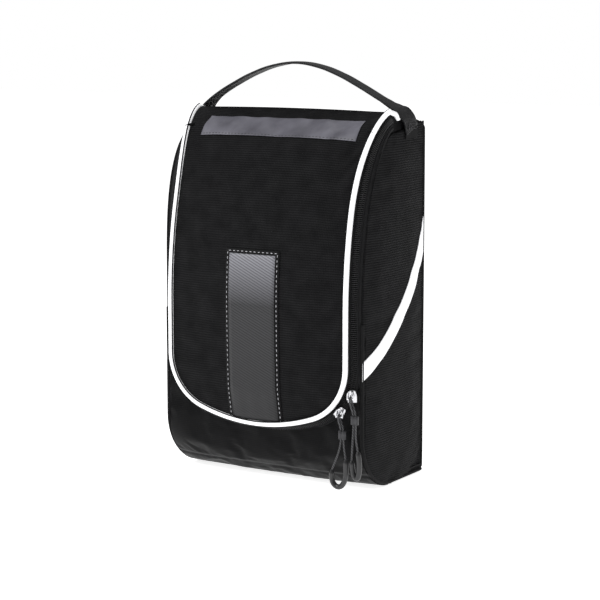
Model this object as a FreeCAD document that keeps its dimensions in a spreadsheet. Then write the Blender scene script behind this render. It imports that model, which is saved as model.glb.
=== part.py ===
import FreeCAD, Part

import math
import os

# A soft golf shoe bag that stands on its base. Millimetres, +Z up, front towards -Y,
# +X to the wearer's right hand when looking at the front. The origin is the middle of
# the footprint, on the floor. The bag is a padded shell with a front flap that opens
# upwards about the top, closed by a two-way zipper that runs round the flap's U edge.

Vector = FreeCAD.Vector
doc = FreeCAD.newDocument("golf_shoe_bag")

# ---------------------------------------------------------------- driving dimensions

SIZES = {
    "base_width": 188.0,
    "back_y": 58.5,
    "back_height": 307.0,
    "side_front_y": -50.0,
    "side_turn_radius": 48.0,
    "side_top_height": 302.0,
    "side_outer_front": 99.4,
    "side_outer_back": 96.8,
    "fabric": 1.4,
    "board": 2.2,
    "lining": 0.6,
    "layer_gap": 0.2,
    "arch_middle_y": 4.0,
    "arch_middle_z": 150.0,
    "arch_depth": 63.0,
    "arch_height": 169.0,
    "hinge_y": -2.0,
    "flap_half_width": 88.5,
    "flap_bottom": 53.0,
    "flap_corner": 48.0,
    "flap_sole_radius": 170.0,
    "flap_flare_start": 236.0,
    "flap_flare_radius": 409.0,
    "foam": 3.0,
    "piping": 4.2,
    "gusset_width": 14.2,
    "coil": 1.8,
    "label_width": 156.0,
    "trim_width": 46.0,
    "trim_top": 198.0,
    "trim_bottom": 58.0,
    "stripe_lift": 0.5,
    "strap_width": 15.0,
    "strap_end_width": 20.0,
    "strap_thick": 1.6,
    "handle_height": 358.5,
    "handle_y": 8.0,
    "handle_end_y": 30.0,
    "handle_pivot_z": 308.0,
    "tab_height": 7.0,
    "slider_wide": 4.2,
    "slider_long": 11.0,
    "slider_thick": 3.0,
    "eye_radius": 2.4,
    "eye_wire": 0.6,
    "cord": 1.6,
    "grip": 4.6,
    "ferrule_wide": 7.0,
    "ferrule_deep": 4.4,
    "ferrule_high": 7.6,
}

sheet = doc.addObject("Spreadsheet::Sheet", "sizes")
for row, (alias, value) in enumerate(SIZES.items(), 1):
    sheet.set(f"A{row}", alias)
    sheet.set(f"B{row}", str(value))
    sheet.setAlias(f"B{row}", alias)
doc.recompute()


def size(alias):
    return float(sheet.get(alias))


fabric, board, lining, gap = size("fabric"), size("board"), size("lining"), size("layer_gap")
half_base = size("base_width") / 2
back_y, back_height = size("back_y"), size("back_height")
arch_y, arch_z = size("arch_middle_y"), size("arch_middle_z")
arch_depth, arch_height = size("arch_depth"), size("arch_height")
flap_half, corner = size("flap_half_width"), size("flap_corner")
sole_radius, flap_bottom = size("flap_sole_radius"), size("flap_bottom")
hinge_y = size("hinge_y")

# The flap's U edge, seen from the front: upright sides that flare near the top, two
# round corners, and a shallow arc between them.
corner_x = flap_half - corner
sole_z = flap_bottom + sole_radius
corner_z = sole_z - math.sqrt((sole_radius - corner) ** 2 - corner_x**2)
corner_turn = math.atan2(sole_z - corner_z, corner_x)
flare_z, flare_radius = size("flap_flare_start"), size("flap_flare_radius")
front_y = arch_y - arch_depth

nodes = []


def keep(item, name):
    item.Label = name
    nodes.append(item)
    return item


# ---------------------------------------------------------------- ways of building


def box(name, length, width, height, x, y, z):
    """A flat layer: a box whose sizes and low corner are expressions on the sheet."""
    item = doc.addObject("Part::Box", name)
    for prop, text in (
        ("Length", length),
        ("Width", width),
        ("Height", height),
        ("Placement.Base.x", x),
        ("Placement.Base.y", y),
        ("Placement.Base.z", z),
    ):
        item.setExpression(prop, text)
    return keep(item, name)


def sketch_on(body, role, name, edges):
    sketch = body.newObject("Sketcher::SketchObject", name)
    plane = [item for item in body.Origin.OriginFeatures if item.Role == role][0]
    sketch.AttachmentSupport = [(plane, "")]
    sketch.MapMode = "FlatFace"
    sketch.addGeometry(edges, False)
    return sketch


def padded_outline(name, edges, length):
    """A piece cut to an outline in the side view and padded evenly to both sides of X = 0."""
    body = doc.addObject("PartDesign::Body", name)
    sketch = sketch_on(body, "YZ_Plane", name + "_outline", edges)
    pad = body.newObject("PartDesign::Pad", name + "_pad")
    pad.Profile = sketch
    pad.setExpression("Length", length)
    pad.SideType = "Symmetric"
    return keep(body, name)


def cut_outside(body, name, outline):
    """Trims a padded piece to an outline in the front view."""
    far = 400
    frame = polygon([(-far, -far), (far, -far), (far, far), (-far, far)])
    sketch = sketch_on(body, "XZ_Plane", name + "_cut", frame + outline)
    pocket = body.newObject("PartDesign::Pocket", name + "_trim")
    pocket.Profile = sketch
    pocket.Type = "ThroughAll"
    pocket.SideType = "Symmetric"


def line(first, second):
    return Part.LineSegment(Vector(*first, 0), Vector(*second, 0))


def polygon(points):
    return [line(points[i], points[(i + 1) % len(points)]) for i in range(len(points))]


def arc(middle, radius, start, end):
    """An arc, anticlockwise from start to end, in radians."""
    return Part.ArcOfCircle(Part.Circle(Vector(*middle, 0), Vector(0, 0, 1), radius), start, end)


def on_circle(middle, radius, turn):
    return (middle[0] + radius * math.cos(turn), middle[1] + radius * math.sin(turn))


def arch_point(inset, height):
    """The arch of the flap in the side view, as (y, z), set in by a distance."""
    depth, rise = arch_depth - inset, arch_height - inset
    if height <= arch_z:
        return (arch_y - depth, height)
    share = min(1.0, (height - arch_z) / rise)
    return (arch_y - depth * math.sqrt(1 - share**2), height)


def arch_height_at(inset, y):
    depth, rise = arch_depth - inset, arch_height - inset
    return arch_z + rise * math.sqrt(1 - ((arch_y - y) / depth) ** 2)


def ellipse_edge(inset, low, high):
    """Points on the arch between two heights, joined as one smooth curve."""
    depth, rise = arch_depth - inset, arch_height - inset
    first = math.asin(max(-1.0, (low - arch_z) / rise))
    last = math.asin(min(1.0, (high - arch_z) / rise))
    count = 12
    points = []
    for i in range(count + 1):
        turn = first + (last - first) * i / count
        points.append(Vector(arch_y - depth * math.cos(turn), arch_z + rise * math.sin(turn), 0))
    curve = Part.BSplineCurve()
    curve.interpolate(points)
    return curve


def shell_profile(inset, thick, low, rear_y):
    """A layer of the flap in the side view: straight up the front, then over the arch."""
    edges = []
    inner = inset + thick
    outer_top = arch_height_at(inset, rear_y)
    inner_top = arch_height_at(inner, rear_y)
    start = max(low, arch_z)
    edges.append(ellipse_edge(inset, start, outer_top))
    edges.append(line((rear_y, outer_top), (rear_y, inner_top)))
    edges.append(ellipse_edge(inner, start, inner_top))
    if low < arch_z:
        edges.append(line(arch_point(inner, arch_z), arch_point(inner, low)))
        edges.append(line(arch_point(inset, low), arch_point(inset, arch_z)))
    edges.append(line(arch_point(inner, low), arch_point(inset, low)))
    return edges


def flare_x(height, inset=0.0):
    """Half the flap's width at a height on its upright sides."""
    if height <= flare_z:
        return flap_half - inset
    radius = flare_radius + inset
    return flap_half + flare_radius - math.sqrt(radius**2 - (height - flare_z) ** 2)


def u_outline(inset, top):
    """The flap's edge as a closed outline in the front view."""
    half, top_half = flap_half - inset, flare_x(top, inset)
    radius, flare = corner - inset, flare_radius + inset
    middle = flap_half + flare_radius
    rise = math.asin((top - flare_z) / flare)
    return [
        arc((-middle, flare_z), flare, 0, rise),
        line((-half, flare_z), (-half, corner_z)),
        arc((-corner_x, corner_z), radius, math.pi, math.pi + corner_turn),
        arc((0, sole_z), sole_radius - inset, math.pi + corner_turn, 2 * math.pi - corner_turn),
        arc((corner_x, corner_z), radius, 2 * math.pi - corner_turn, 2 * math.pi),
        line((half, corner_z), (half, flare_z)),
        arc((middle, flare_z), flare, math.pi - rise, math.pi),
        line((top_half, top), (-top_half, top)),
    ]


def smooth_edge(points):
    curve = Part.BSplineCurve()
    curve.interpolate([Vector(*p) for p in points])
    return curve.toShape()


def ribbon(name, rails):
    """A long soft strip: four rails, ruled faces between them, and a flat cap at each end."""
    edges = [smooth_edge(rail) for rail in rails]
    count = len(edges)
    faces = [Part.makeRuledSurface(edges[i], edges[(i + 1) % count]) for i in range(count)]
    for end in (0, -1):
        ring = [Vector(*rail[end]) for rail in rails]
        across = [Part.makeLine(ring[0], ring[1]), Part.makeLine(ring[3], ring[2])]
        faces.append(Part.makeRuledSurface(*across))
    shell = Part.Shell(faces)
    shell.sewShape()
    solid = Part.Solid(shell)
    if solid.Volume < 0:
        solid.reverse()
    item = doc.addObject("Part::Feature", name)
    item.Shape = solid
    return keep(item, name)


def rounded_path(points, diameter, name):
    """Straight runs joined by tangent arcs, each arc as large as its runs allow."""
    corners = [Vector(*p) for p in points]
    runs = [corners[i + 1] - corners[i] for i in range(len(corners) - 1)]
    edges, start, radii = [], corners[0], []
    for i in range(1, len(corners) - 1):
        into, out = runs[i - 1], runs[i]
        turn = into.getAngle(out)
        reach = 0.45 * min(into.Length, out.Length)
        radii.append(reach / math.tan(turn / 2))
        arc_start = corners[i] - into * (reach / into.Length)
        arc_end = corners[i] + out * (reach / out.Length)
        middle = corners[i] + (arc_start - corners[i] + arc_end - corners[i])
        toward = (middle - corners[i]).normalize()
        far = radii[-1] / math.cos(turn / 2)
        arc_middle = corners[i] + toward * (far - radii[-1])
        edges.append(Part.LineSegment(start, arc_start).toShape())
        edges.append(Part.Arc(arc_start, arc_middle, arc_end).toShape())
        start = arc_end
    edges.append(Part.LineSegment(start, corners[-1]).toShape())
    wire = Part.Wire(edges)
    print(f"{name}: length {wire.Length:.1f}, radii {[round(r, 1) for r in radii]}")
    return wire


def tube(name, points, diameter):
    wire = rounded_path(points, diameter, name)
    first = wire.Edges[0]
    start = first.valueAt(first.FirstParameter)
    along = first.tangentAt(first.FirstParameter)
    profile = Part.Wire(Part.makeCircle(diameter / 2, start, along))
    solid = wire.makePipeShell([profile], True, True, 2)
    expected = math.pi * diameter**2 / 4 * wire.Length
    print(f"{name}: volume {solid.Volume:.1f}, expected {expected:.1f}")
    if abs(solid.Volume - expected) > 0.05 * expected:
        raise ValueError(f"{name} didn't sweep as expected")
    item = doc.addObject("Part::Feature", name)
    item.Shape = solid
    return keep(item, name)


# ---------------------------------------------------------------- base and back

box("base_panel", "sizes.base_width", "sizes.back_y + 2", "sizes.fabric",
    "-sizes.base_width / 2", "-2", "0")
box("base_board", "sizes.base_width - 8", "sizes.back_y - 6", "sizes.board",
    "4 - sizes.base_width / 2", "0", "sizes.fabric + sizes.layer_gap")
box("base_lining", "sizes.base_width - 6", "sizes.back_y - 6", "sizes.lining",
    "3 - sizes.base_width / 2", "0", "sizes.fabric + sizes.board + 2 * sizes.layer_gap")
box("back_panel", "sizes.base_width", "sizes.fabric", "sizes.back_height - 4",
    "-sizes.base_width / 2", "sizes.back_y - sizes.fabric", "sizes.fabric + sizes.layer_gap")
box("back_board", "sizes.base_width - 8", "sizes.board", "sizes.back_height - 14",
    "4 - sizes.base_width / 2", "sizes.back_y - sizes.fabric - sizes.board - sizes.layer_gap",
    "5")
box("back_lining", "sizes.base_width - 6", "sizes.lining", "sizes.back_height - 12",
    "3 - sizes.base_width / 2",
    "sizes.back_y - sizes.fabric - sizes.board - sizes.lining - 2 * sizes.layer_gap", "5")

# ---------------------------------------------------------------- side panels

side_front, turn_radius = size("side_front_y"), size("side_turn_radius")
side_top = size("side_top_height")
side_depth = arch_y - side_front
outer_front, outer_back = size("side_outer_front"), size("side_outer_back")
side_lean = math.degrees(math.atan2(outer_front - outer_back, back_y - side_front))


def side_arch(inset, count=10):
    """The side panel's front edge: a tall quarter ellipse up to the shoulder."""
    depth, rise = side_depth - inset, side_top - arch_z - inset
    points = []
    for i in range(count + 1):
        turn = math.pi / 2 * i / count
        points.append(Vector(arch_y - depth * math.cos(turn), arch_z + rise * math.sin(turn), 0))
    curve = Part.BSplineCurve()
    curve.interpolate(points)
    return curve


def side_outline(inset, foot):
    """The side panel in the side view: rounded toe, arched front edge, sloping top."""
    front = side_front + inset
    rear = back_y - fabric - gap - inset
    middle = (side_front + turn_radius, foot + turn_radius)
    radius = turn_radius - inset
    rear_top = back_height - 4 - inset
    shoulder = side_top - inset
    return [
        side_arch(inset),
        line((arch_y, shoulder), (rear, rear_top)),
        line((rear, rear_top), (rear, foot + inset)),
        line((rear, foot + inset), (middle[0], foot + inset)),
        arc(middle, radius, math.pi, 1.5 * math.pi),
        line((front, middle[1]), (front, arch_z)),
    ]


def place_side(body, side, lift):
    """Stands a padded piece at the bag's side, toed in towards the back."""
    doc.recompute()
    thick = body.Tip.Length.Value
    centre = outer_front + lift - thick / 2
    front_edge = Vector(side * centre, side_front, 0)
    turn = FreeCAD.Rotation(Vector(0, 0, 1), side * side_lean)
    body.Placement = FreeCAD.Placement(front_edge - turn.multVec(Vector(0, side_front, 0)), turn)


SIDES = (("left", -1), ("right", 1))

for word, side in SIDES:
    panel = padded_outline(f"side_panel_{word}", side_outline(0, 0.8), "sizes.fabric")
    place_side(panel, side, 0)
    inner = padded_outline(f"side_lining_{word}", side_outline(1, 4.6), "sizes.lining")
    place_side(inner, side, -fabric - gap)

# The white stripe crosses each side panel in one sweep, from low on the front edge to
# high on the back edge, and widens as it goes.
def three_point(points):
    """The arc through three places in the side view."""
    return Part.Arc(*[Vector(*p, 0) for p in points])


stripe_rear = back_y - 3
stripe_low = [(-49, 98), (-3, 126), (stripe_rear, 196)]
stripe_high = [(-49, 114), (-3, 144), (stripe_rear, 227)]
for word, side in SIDES:
    edges = [
        three_point(stripe_low),
        line(stripe_low[-1], stripe_high[-1]),
        three_point(stripe_high),
        line(stripe_high[0], stripe_low[0]),
    ]
    place_side(padded_outline(f"side_stripe_{word}", edges, "sizes.stripe_lift"), side,
               size("stripe_lift") + 0.1)

# Black piping round the toe and along the foot of each side panel.
piping_wide = 3.4
for word, side in SIDES:
    toe = (side_front + turn_radius, 0.8 + turn_radius)
    inner_radius = turn_radius - piping_wide
    rear = back_y - 2
    edges = [
        arc(toe, turn_radius, math.pi, 1.5 * math.pi),
        line((toe[0], 0.8), (rear, 0.8)),
        line((rear, 0.8), (rear, 0.8 + piping_wide)),
        line((rear, 0.8 + piping_wide), (toe[0], 0.8 + piping_wide)),
        arc(toe, inner_radius, math.pi, 1.5 * math.pi),
        line((side_front + piping_wide, toe[1]), (side_front + piping_wide, 94)),
        line((side_front + piping_wide, 94), (side_front, 94)),
        line((side_front, 94), (side_front, toe[1])),
    ]
    place_side(padded_outline(f"side_piping_{word}", edges, "2 * sizes.fabric"), side,
               2 * fabric + 0.1)

# ---------------------------------------------------------------- lower front and top


def toe_profile(inset, thick, high):
    """The lower front in the side view: down from the zipper and round under the toe."""
    middle = (side_front + turn_radius, turn_radius)
    outer, inner = turn_radius - inset, turn_radius - inset - thick
    front = side_front + inset
    reach = math.pi * 1.5 - math.asin(0.5 / outer)
    inner_reach = math.pi * 1.5 - math.asin(0.5 / inner)
    return [
        arc(middle, outer, math.pi, reach),
        line(on_circle(middle, outer, reach), on_circle(middle, inner, inner_reach)),
        arc(middle, inner, math.pi, inner_reach),
        line((front + thick, middle[1]), (front + thick, high)),
        line((front + thick, high), (front, high)),
        line((front, high), (front, middle[1])),
    ]


def front_view_below(outset, half):
    """All that lies below the zipper's outer edge, in the front view, out to a half width."""
    radius, sole = corner + outset, sole_radius + outset
    crossing = math.acos((half - corner_x) / radius)
    side_z = corner_z - radius * math.sin(crossing)
    return [
        arc((-corner_x, corner_z), radius, math.pi + crossing, math.pi + corner_turn),
        arc((0, sole_z), sole, math.pi + corner_turn, 2 * math.pi - corner_turn),
        arc((corner_x, corner_z), radius, 2 * math.pi - corner_turn, 2 * math.pi - crossing),
        line((half, side_z), (half, -50)),
        line((half, -50), (-half, -50)),
        line((-half, -50), (-half, side_z)),
    ]


panel_half = outer_front - fabric - lining - 1
for name, inset, thick, width in (
    ("front_lower_panel", 0.0, "fabric", panel_half),
    ("front_lower_lining", fabric + gap, "lining", panel_half - 1),
):
    profile = toe_profile(inset, size(thick), corner_z)
    piece = padded_outline(name, profile, "2 * sizes.base_width")
    cut_outside(piece, name, front_view_below(size("gusset_width") * 0.743, width))

# The top panel runs from the flap's hinge seam back to the back panel.
top_front = hinge_y + 0.6
ridge = arch_z + arch_height
top_edges = []
for inset in (0.0, fabric):
    top_edges.append(line((top_front, ridge - 0.8 - inset), (40, ridge - 7 - inset)))
    top_edges.append(Part.Arc(Vector(40, ridge - 7 - inset, 0),
                              Vector(52 - 0.4 * inset, ridge - 10.2 - inset, 0),
                              Vector(back_y - inset, back_height - 2, 0)))
top_edges.append(line((top_front, ridge - 0.8), (top_front, ridge - 0.8 - fabric)))
top_edges.append(line((back_y, back_height - 2), (back_y - fabric, back_height - 2)))
padded_outline("top_rear_panel", top_edges, "sizes.base_width + 2")

# A shoulder piece closes each side between the top panel and the side panel.
for word, side in SIDES:
    edges = polygon([
        (arch_y, side_top + 1), (arch_y, ridge - 3.2), (40, ridge - 10),
        (back_y - 4, back_height - 2), (back_y - 4, back_height - 2.6),
    ])
    place_side(padded_outline(f"shoulder_{word}", edges, "sizes.fabric"), side, 0)

# ---------------------------------------------------------------- zipper

SIDE_LEAN, SOLE_LEAN, TOP_LEAN = math.radians(42), math.radians(54), math.radians(80)


def edge_stations():
    """Stations round the flap's edge: place, outward and inward directions, lean."""
    stations = []
    upright = 12
    top = arch_height_at(0, hinge_y - 0.8)
    for i in range(upright):
        height = top + (corner_z - top) * i / upright
        y, z = arch_point(0, height)
        lean = SIDE_LEAN
        if height > flare_z:
            lean += (TOP_LEAN - SIDE_LEAN) * ((height - flare_z) / (top - flare_z)) ** 2
        inward = Vector(0, 1, 0)
        if height > arch_z:
            inward = Vector(0, (arch_y - y) / arch_depth**2, (arch_z - z) / arch_height**2)
            inward.normalize()
        stations.append((Vector(flare_x(height), y, z), Vector(1, 0, 0), inward, lean))
    for i in range(7):
        turn = -corner_turn * i / 7
        outward = Vector(math.cos(turn), 0, math.sin(turn))
        place = Vector(corner_x, front_y, corner_z) + outward * corner
        stations.append((place, outward, Vector(0, 1, 0), SIDE_LEAN))
    for i in range(6):
        share = i / 5
        turn = -corner_turn - (math.pi / 2 - corner_turn) * share
        outward = Vector(math.cos(turn), 0, math.sin(turn))
        place = Vector(0, front_y, sole_z) + outward * sole_radius
        lean = SIDE_LEAN + (SOLE_LEAN - SIDE_LEAN) * share
        stations.append((place, outward, Vector(0, 1, 0), lean))
    mirrored = []
    for place, outward, inward, lean in reversed(stations[:-1]):
        mirrored.append((Vector(-place.x, place.y, place.z),
                         Vector(-outward.x, outward.y, outward.z), inward, lean))
    return stations + mirrored


def edge_strip(name, across, through):
    """A strip that follows the flap's edge, between two distances across and two through."""
    rails = []
    for wide, deep in ((0, 0), (1, 0), (1, 1), (0, 1)):
        rail = []
        for place, outward, inward, lean in edge_stations():
            run = outward * math.cos(lean) + inward * math.sin(lean)
            into = inward * math.cos(lean) - outward * math.sin(lean)
            point = place + run * across[wide] + into * through[deep]
            rail.append((point.x, point.y, point.z))
        rails.append(rail)
    return ribbon(name, rails)


gusset, coil = size("gusset_width"), size("coil")
coil_start = 7.7
flap_coil_start = 3.5
edge_strip("zip_tape_body", (coil_start + coil + 0.1, gusset - 1.8), (0, 0.9))
edge_strip("zip_coil_body", (coil_start, coil_start + coil), (-0.6, 1.2))

# ---------------------------------------------------------------- flap

rear = hinge_y - 0.3
flap_low = flap_bottom - 6
panel = padded_outline("flap_panel", shell_profile(0, fabric, flap_low, rear),
                       "2 * sizes.base_width")
cut_outside(panel, "flap_panel", u_outline(0.75 * size("piping") + 0.2, ridge + 6))
foam_inset = fabric + gap
foam = padded_outline("flap_foam", shell_profile(foam_inset, size("foam"), flap_low, rear),
                      "2 * sizes.base_width")
cut_outside(foam, "flap_foam", u_outline(6.0, ridge + 6))
lining_inset = foam_inset + size("foam") + gap
inner = padded_outline("flap_lining", shell_profile(lining_inset, lining, flap_low, rear),
                       "2 * sizes.base_width")
cut_outside(inner, "flap_lining", u_outline(5.0, ridge + 6))

half_piping = size("piping") / 2
edge_strip("flap_piping", (-half_piping, half_piping), (-half_piping, half_piping))
edge_strip("zip_tape_flap", (half_piping + 0.1, flap_coil_start - 0.1), (0, 0.9))
edge_strip("zip_coil_flap", (flap_coil_start, flap_coil_start + coil), (-0.6, 1.2))


def skin_patch(name, lift, thick, low, high, wide):
    """A patch sewn on the flap, between two heights."""
    outer = lift + thick
    edges = [
        ellipse_edge(-outer, max(low, arch_z), high),
        ellipse_edge(-lift, max(low, arch_z), high),
        line(arch_point(-outer, high), arch_point(-lift, high)),
        line(arch_point(-outer, low), arch_point(-lift, low)),
    ]
    if low < arch_z:
        edges.append(line(arch_point(-outer, low), arch_point(-outer, arch_z)))
        edges.append(line(arch_point(-lift, low), arch_point(-lift, arch_z)))
    return padded_outline(name, edges, wide)


skin_patch("label_patch", 0.1, 0.4, 294.5, 311.0, "sizes.label_width")
skin_patch("trim_backing", 0.1, 0.4, size("trim_bottom"), size("trim_top") + 3,
           "sizes.trim_width + 6")
skin_patch("trim_strip", 0.6, 0.4, size("trim_bottom") + 1, size("trim_top"),
           "sizes.trim_width")

# ---------------------------------------------------------------- handle

strap_half, strap_thick = size("strap_width") / 2, size("strap_thick")
strap_end_half = size("strap_end_width") / 2
handle_y, end_y = size("handle_y"), size("handle_end_y")
handle_top, pivot_z = size("handle_height"), size("handle_pivot_z")
strap_x = outer_front + 1.7

# Half of the strap's middle line, from the crown down to the sewn end.
half_strap = [
    (0.0, handle_y, handle_top, strap_half),
    (22.0, handle_y, handle_top - 2.6, strap_half),
    (44.0, handle_y, handle_top - 9.4, strap_half),
    (62.0, handle_y, handle_top - 17.6, strap_half),
    (80.0, handle_y + 1, handle_top - 27.2, strap_half),
    (91.0, handle_y + 4, handle_top - 34.2, strap_half),
    (98.2, handle_y + 11, handle_top - 42.0, strap_half + 1),
    (strap_x - 0.3, end_y - 4, handle_top - 49.0, strap_end_half - 0.5),
    (strap_x, end_y, pivot_z - 6.0, strap_end_half),
]
strap_line = [(-x, y, z, w) for x, y, z, w in reversed(half_strap[1:])] + half_strap


def strap_rails():
    rails = [[], [], [], []]
    for i, (x, y, z, half) in enumerate(strap_line):
        before = strap_line[max(i - 1, 0)]
        after = strap_line[min(i + 1, len(strap_line) - 1)]
        along = Vector(after[0] - before[0], 0, after[2] - before[2]).normalize()
        if i in (0, len(strap_line) - 1):
            along = Vector(0, 0, 1 if i == 0 else -1)
        up = Vector(-along.z, 0, along.x) * (strap_thick / 2)
        for rail, (wide, high) in zip(rails, ((-1, -1), (1, -1), (1, 1), (-1, 1))):
            rail.append((x + up.x * high, y + half * wide, z + up.z * high))
    return rails


ribbon("handle_strap", strap_rails())

# Each end of the strap is sewn down over a short tab in the side seam.
for word, side in SIDES:
    tab = doc.addObject("Part::Box", f"handle_tab_{word}")
    tab.setExpression("Length", "sizes.layer_gap * 3")
    tab.setExpression("Width", "sizes.strap_end_width")
    tab.setExpression("Height", "sizes.tab_height")
    tab_x = outer_front + 0.15 if side > 0 else -outer_front - 0.15 - 3 * gap
    tab.Placement.Base = Vector(tab_x, end_y - strap_end_half, pivot_z - 13)
    keep(tab, f"handle_tab_{word}")

# ---------------------------------------------------------------- sliders and pulls

slider_wide, slider_long = size("slider_wide"), size("slider_long")
slider_thick = size("slider_thick")
eye_radius, eye_wire = size("eye_radius"), size("eye_wire")
FACING = math.radians(32)


def slider(name, place, along, facing, eye):
    """A slider body on the coil with an upright eye that the pull's cord passes through."""
    block = doc.addObject("Part::Box", name + "_block")
    block.setExpression("Length", "sizes.slider_wide")
    block.setExpression("Width", "sizes.slider_thick")
    block.setExpression("Height", "sizes.slider_long")
    turn = FreeCAD.Rotation(along.cross(facing) * -1, facing * -1, along, "ZYX")
    low_corner = Vector(-slider_wide / 2, -slider_thick / 2, -slider_long / 2)
    block.Placement = FreeCAD.Placement(place + turn.multVec(low_corner), turn)
    loop = doc.addObject("Part::Torus", name + "_eye")
    loop.setExpression("Radius1", "sizes.eye_radius")
    loop.setExpression("Radius2", "sizes.eye_wire")
    loop.Placement = FreeCAD.Placement(eye, FreeCAD.Rotation(Vector(0, 1, 0), 90))
    joined = doc.addObject("Part::Fuse", name)
    joined.Base = block
    joined.Tool = loop
    return keep(joined, name)


def ferrule(name, place, spacing):
    """The crimped sleeve that holds the two legs of the cord together."""
    block = doc.addObject("Part::Box", name + "_block")
    block.setExpression("Length", "sizes.ferrule_wide")
    block.setExpression("Width", "sizes.ferrule_deep")
    block.setExpression("Height", "sizes.ferrule_high")
    block.Placement.Base = place - Vector(size("ferrule_wide") / 2, size("ferrule_deep") / 2, 0)
    holes = []
    for side in (-1, 1):
        hole = doc.addObject("Part::Cylinder", f"{name}_hole_{'lr'[side > 0]}")
        hole.setExpression("Radius", "sizes.cord / 2 + 0.06")
        hole.setExpression("Height", "sizes.ferrule_high + 2")
        hole.Placement.Base = place + Vector(side * spacing / 2, 0, -1)
        holes.append(hole)
    both = doc.addObject("Part::Fuse", name + "_holes")
    both.Base, both.Tool = holes
    cut = doc.addObject("Part::Cut", name)
    cut.Base, cut.Tool = block, both
    return keep(cut, name)


legs = 2.2
over = 1.7  # how far the cord stands out of the eye's wire on each side

# The upper slider is parked where the straight side begins, with its pull hanging down.
upper_place = Vector(94.1, -57.2, 85.5)
upper_facing = Vector(math.sin(FACING), -math.cos(FACING), 0)
upper_eye = Vector(94.9, -60.7, 85.5)
slider("slider_upper", upper_place, Vector(0, 0, 1), upper_facing, upper_eye)

# The lower slider sits on the corner, turned along the zipper.
lower_turn = math.radians(-41.5)
lower_out = Vector(math.cos(lower_turn), 0, math.sin(lower_turn))
lower_along = Vector(-math.sin(lower_turn), 0, math.cos(lower_turn))
lower_place = Vector(corner_x, -57.0, corner_z) + lower_out * 56
lower_facing = lower_out * math.sin(FACING) + Vector(0, -math.cos(FACING), 0)
lower_eye = lower_place + lower_facing * 3.7
slider("slider_lower", lower_place, lower_along, lower_facing, lower_eye)


def cord_route(eye, ferrule_at, left_end, right_end, left_bend, right_bend):
    """From one end of the grip up through the sleeve, over the eye's wire and back down."""
    y = eye.y
    crown = eye.z - eye_radius + 1.65
    sleeve_top = ferrule_at[1] + size("ferrule_high") + 1.2
    sleeve_foot = ferrule_at[1] - 1.2
    left, right = ferrule_at[0] - legs / 2, ferrule_at[0] + legs / 2
    return [
        (left_end[0], y, left_end[1]),
        (left_bend[0], y, left_bend[1]),
        (left, y, sleeve_foot),
        (left, y, sleeve_top),
        (eye.x - over, y, crown - 3.4),
        (eye.x - over, y, crown),
        (eye.x + over, y, crown),
        (eye.x + over, y, crown - 3.4),
        (right, y, sleeve_top),
        (right, y, sleeve_foot),
        (right_bend[0], y, right_bend[1]),
        (right_end[0], y, right_end[1]),
    ]


PULLS = {
    "upper": {
        "eye": upper_eye,
        "ferrule": (98.4, 62.4),
        "left_end": (95.6, 31.6),
        "left_bend": (96.4, 46.0),
        "right_end": (101.6, 39.8),
        "right_bend": (99.3, 50.0),
        "grip": [(95.6, 31.6), (96.4, 24.0), (98.6, 17.6), (101.8, 17.0), (103.2, 24.0),
                 (103.0, 32.5), (101.6, 39.8)],
    },
    "lower": {
        "eye": lower_eye,
        "ferrule": (86.2, 48.6),
        "left_end": (76.0, 21.4),
        "left_bend": (82.6, 36.0),
        "right_end": (89.6, 31.6),
        "right_bend": (88.0, 40.6),
        "grip": [(76.0, 21.4), (75.6, 13.4), (79.4, 7.8), (85.0, 7.6), (89.0, 13.6),
                 (90.3, 22.5), (89.6, 31.6)],
    },
}

for word, pull in PULLS.items():
    eye = pull["eye"]
    ends = 0.15
    route = cord_route(eye, pull["ferrule"], pull["left_end"], pull["right_end"],
                       pull["left_bend"], pull["right_bend"])
    tube(f"{word}_pull_cord", route, size("cord"))
    ferrule_x, ferrule_z = pull["ferrule"]
    ferrule(f"{word}_pull_ferrule", Vector(ferrule_x, eye.y, ferrule_z), legs)
    grip_points = [(x, eye.y, z - ends) for x, z in pull["grip"]]
    tube(f"{word}_pull_grip", grip_points, size("grip"))

# ---------------------------------------------------------------- checks and export

doc.recompute()
for item in doc.Objects:
    if "Invalid" in item.State or "Error" in item.State:
        raise RuntimeError(f"{item.Name} is in state {item.State}")
for item in nodes:
    shape = item.Shape
    if shape.isNull() or not shape.isValid() or shape.Volume <= 0:
        raise RuntimeError(f"{item.Label} has no valid solid")
    if len(shape.Solids) != 1:
        raise RuntimeError(f"{item.Label} has {len(shape.Solids)} solids")

os.makedirs("parts", exist_ok=True)
for item in nodes:
    item.Shape.exportStep(f"parts/{item.Label}.step")
print(len(nodes), "nodes")
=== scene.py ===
import math
from bisect import bisect_right

import bpy
from mathutils import Matrix, Vector


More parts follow.
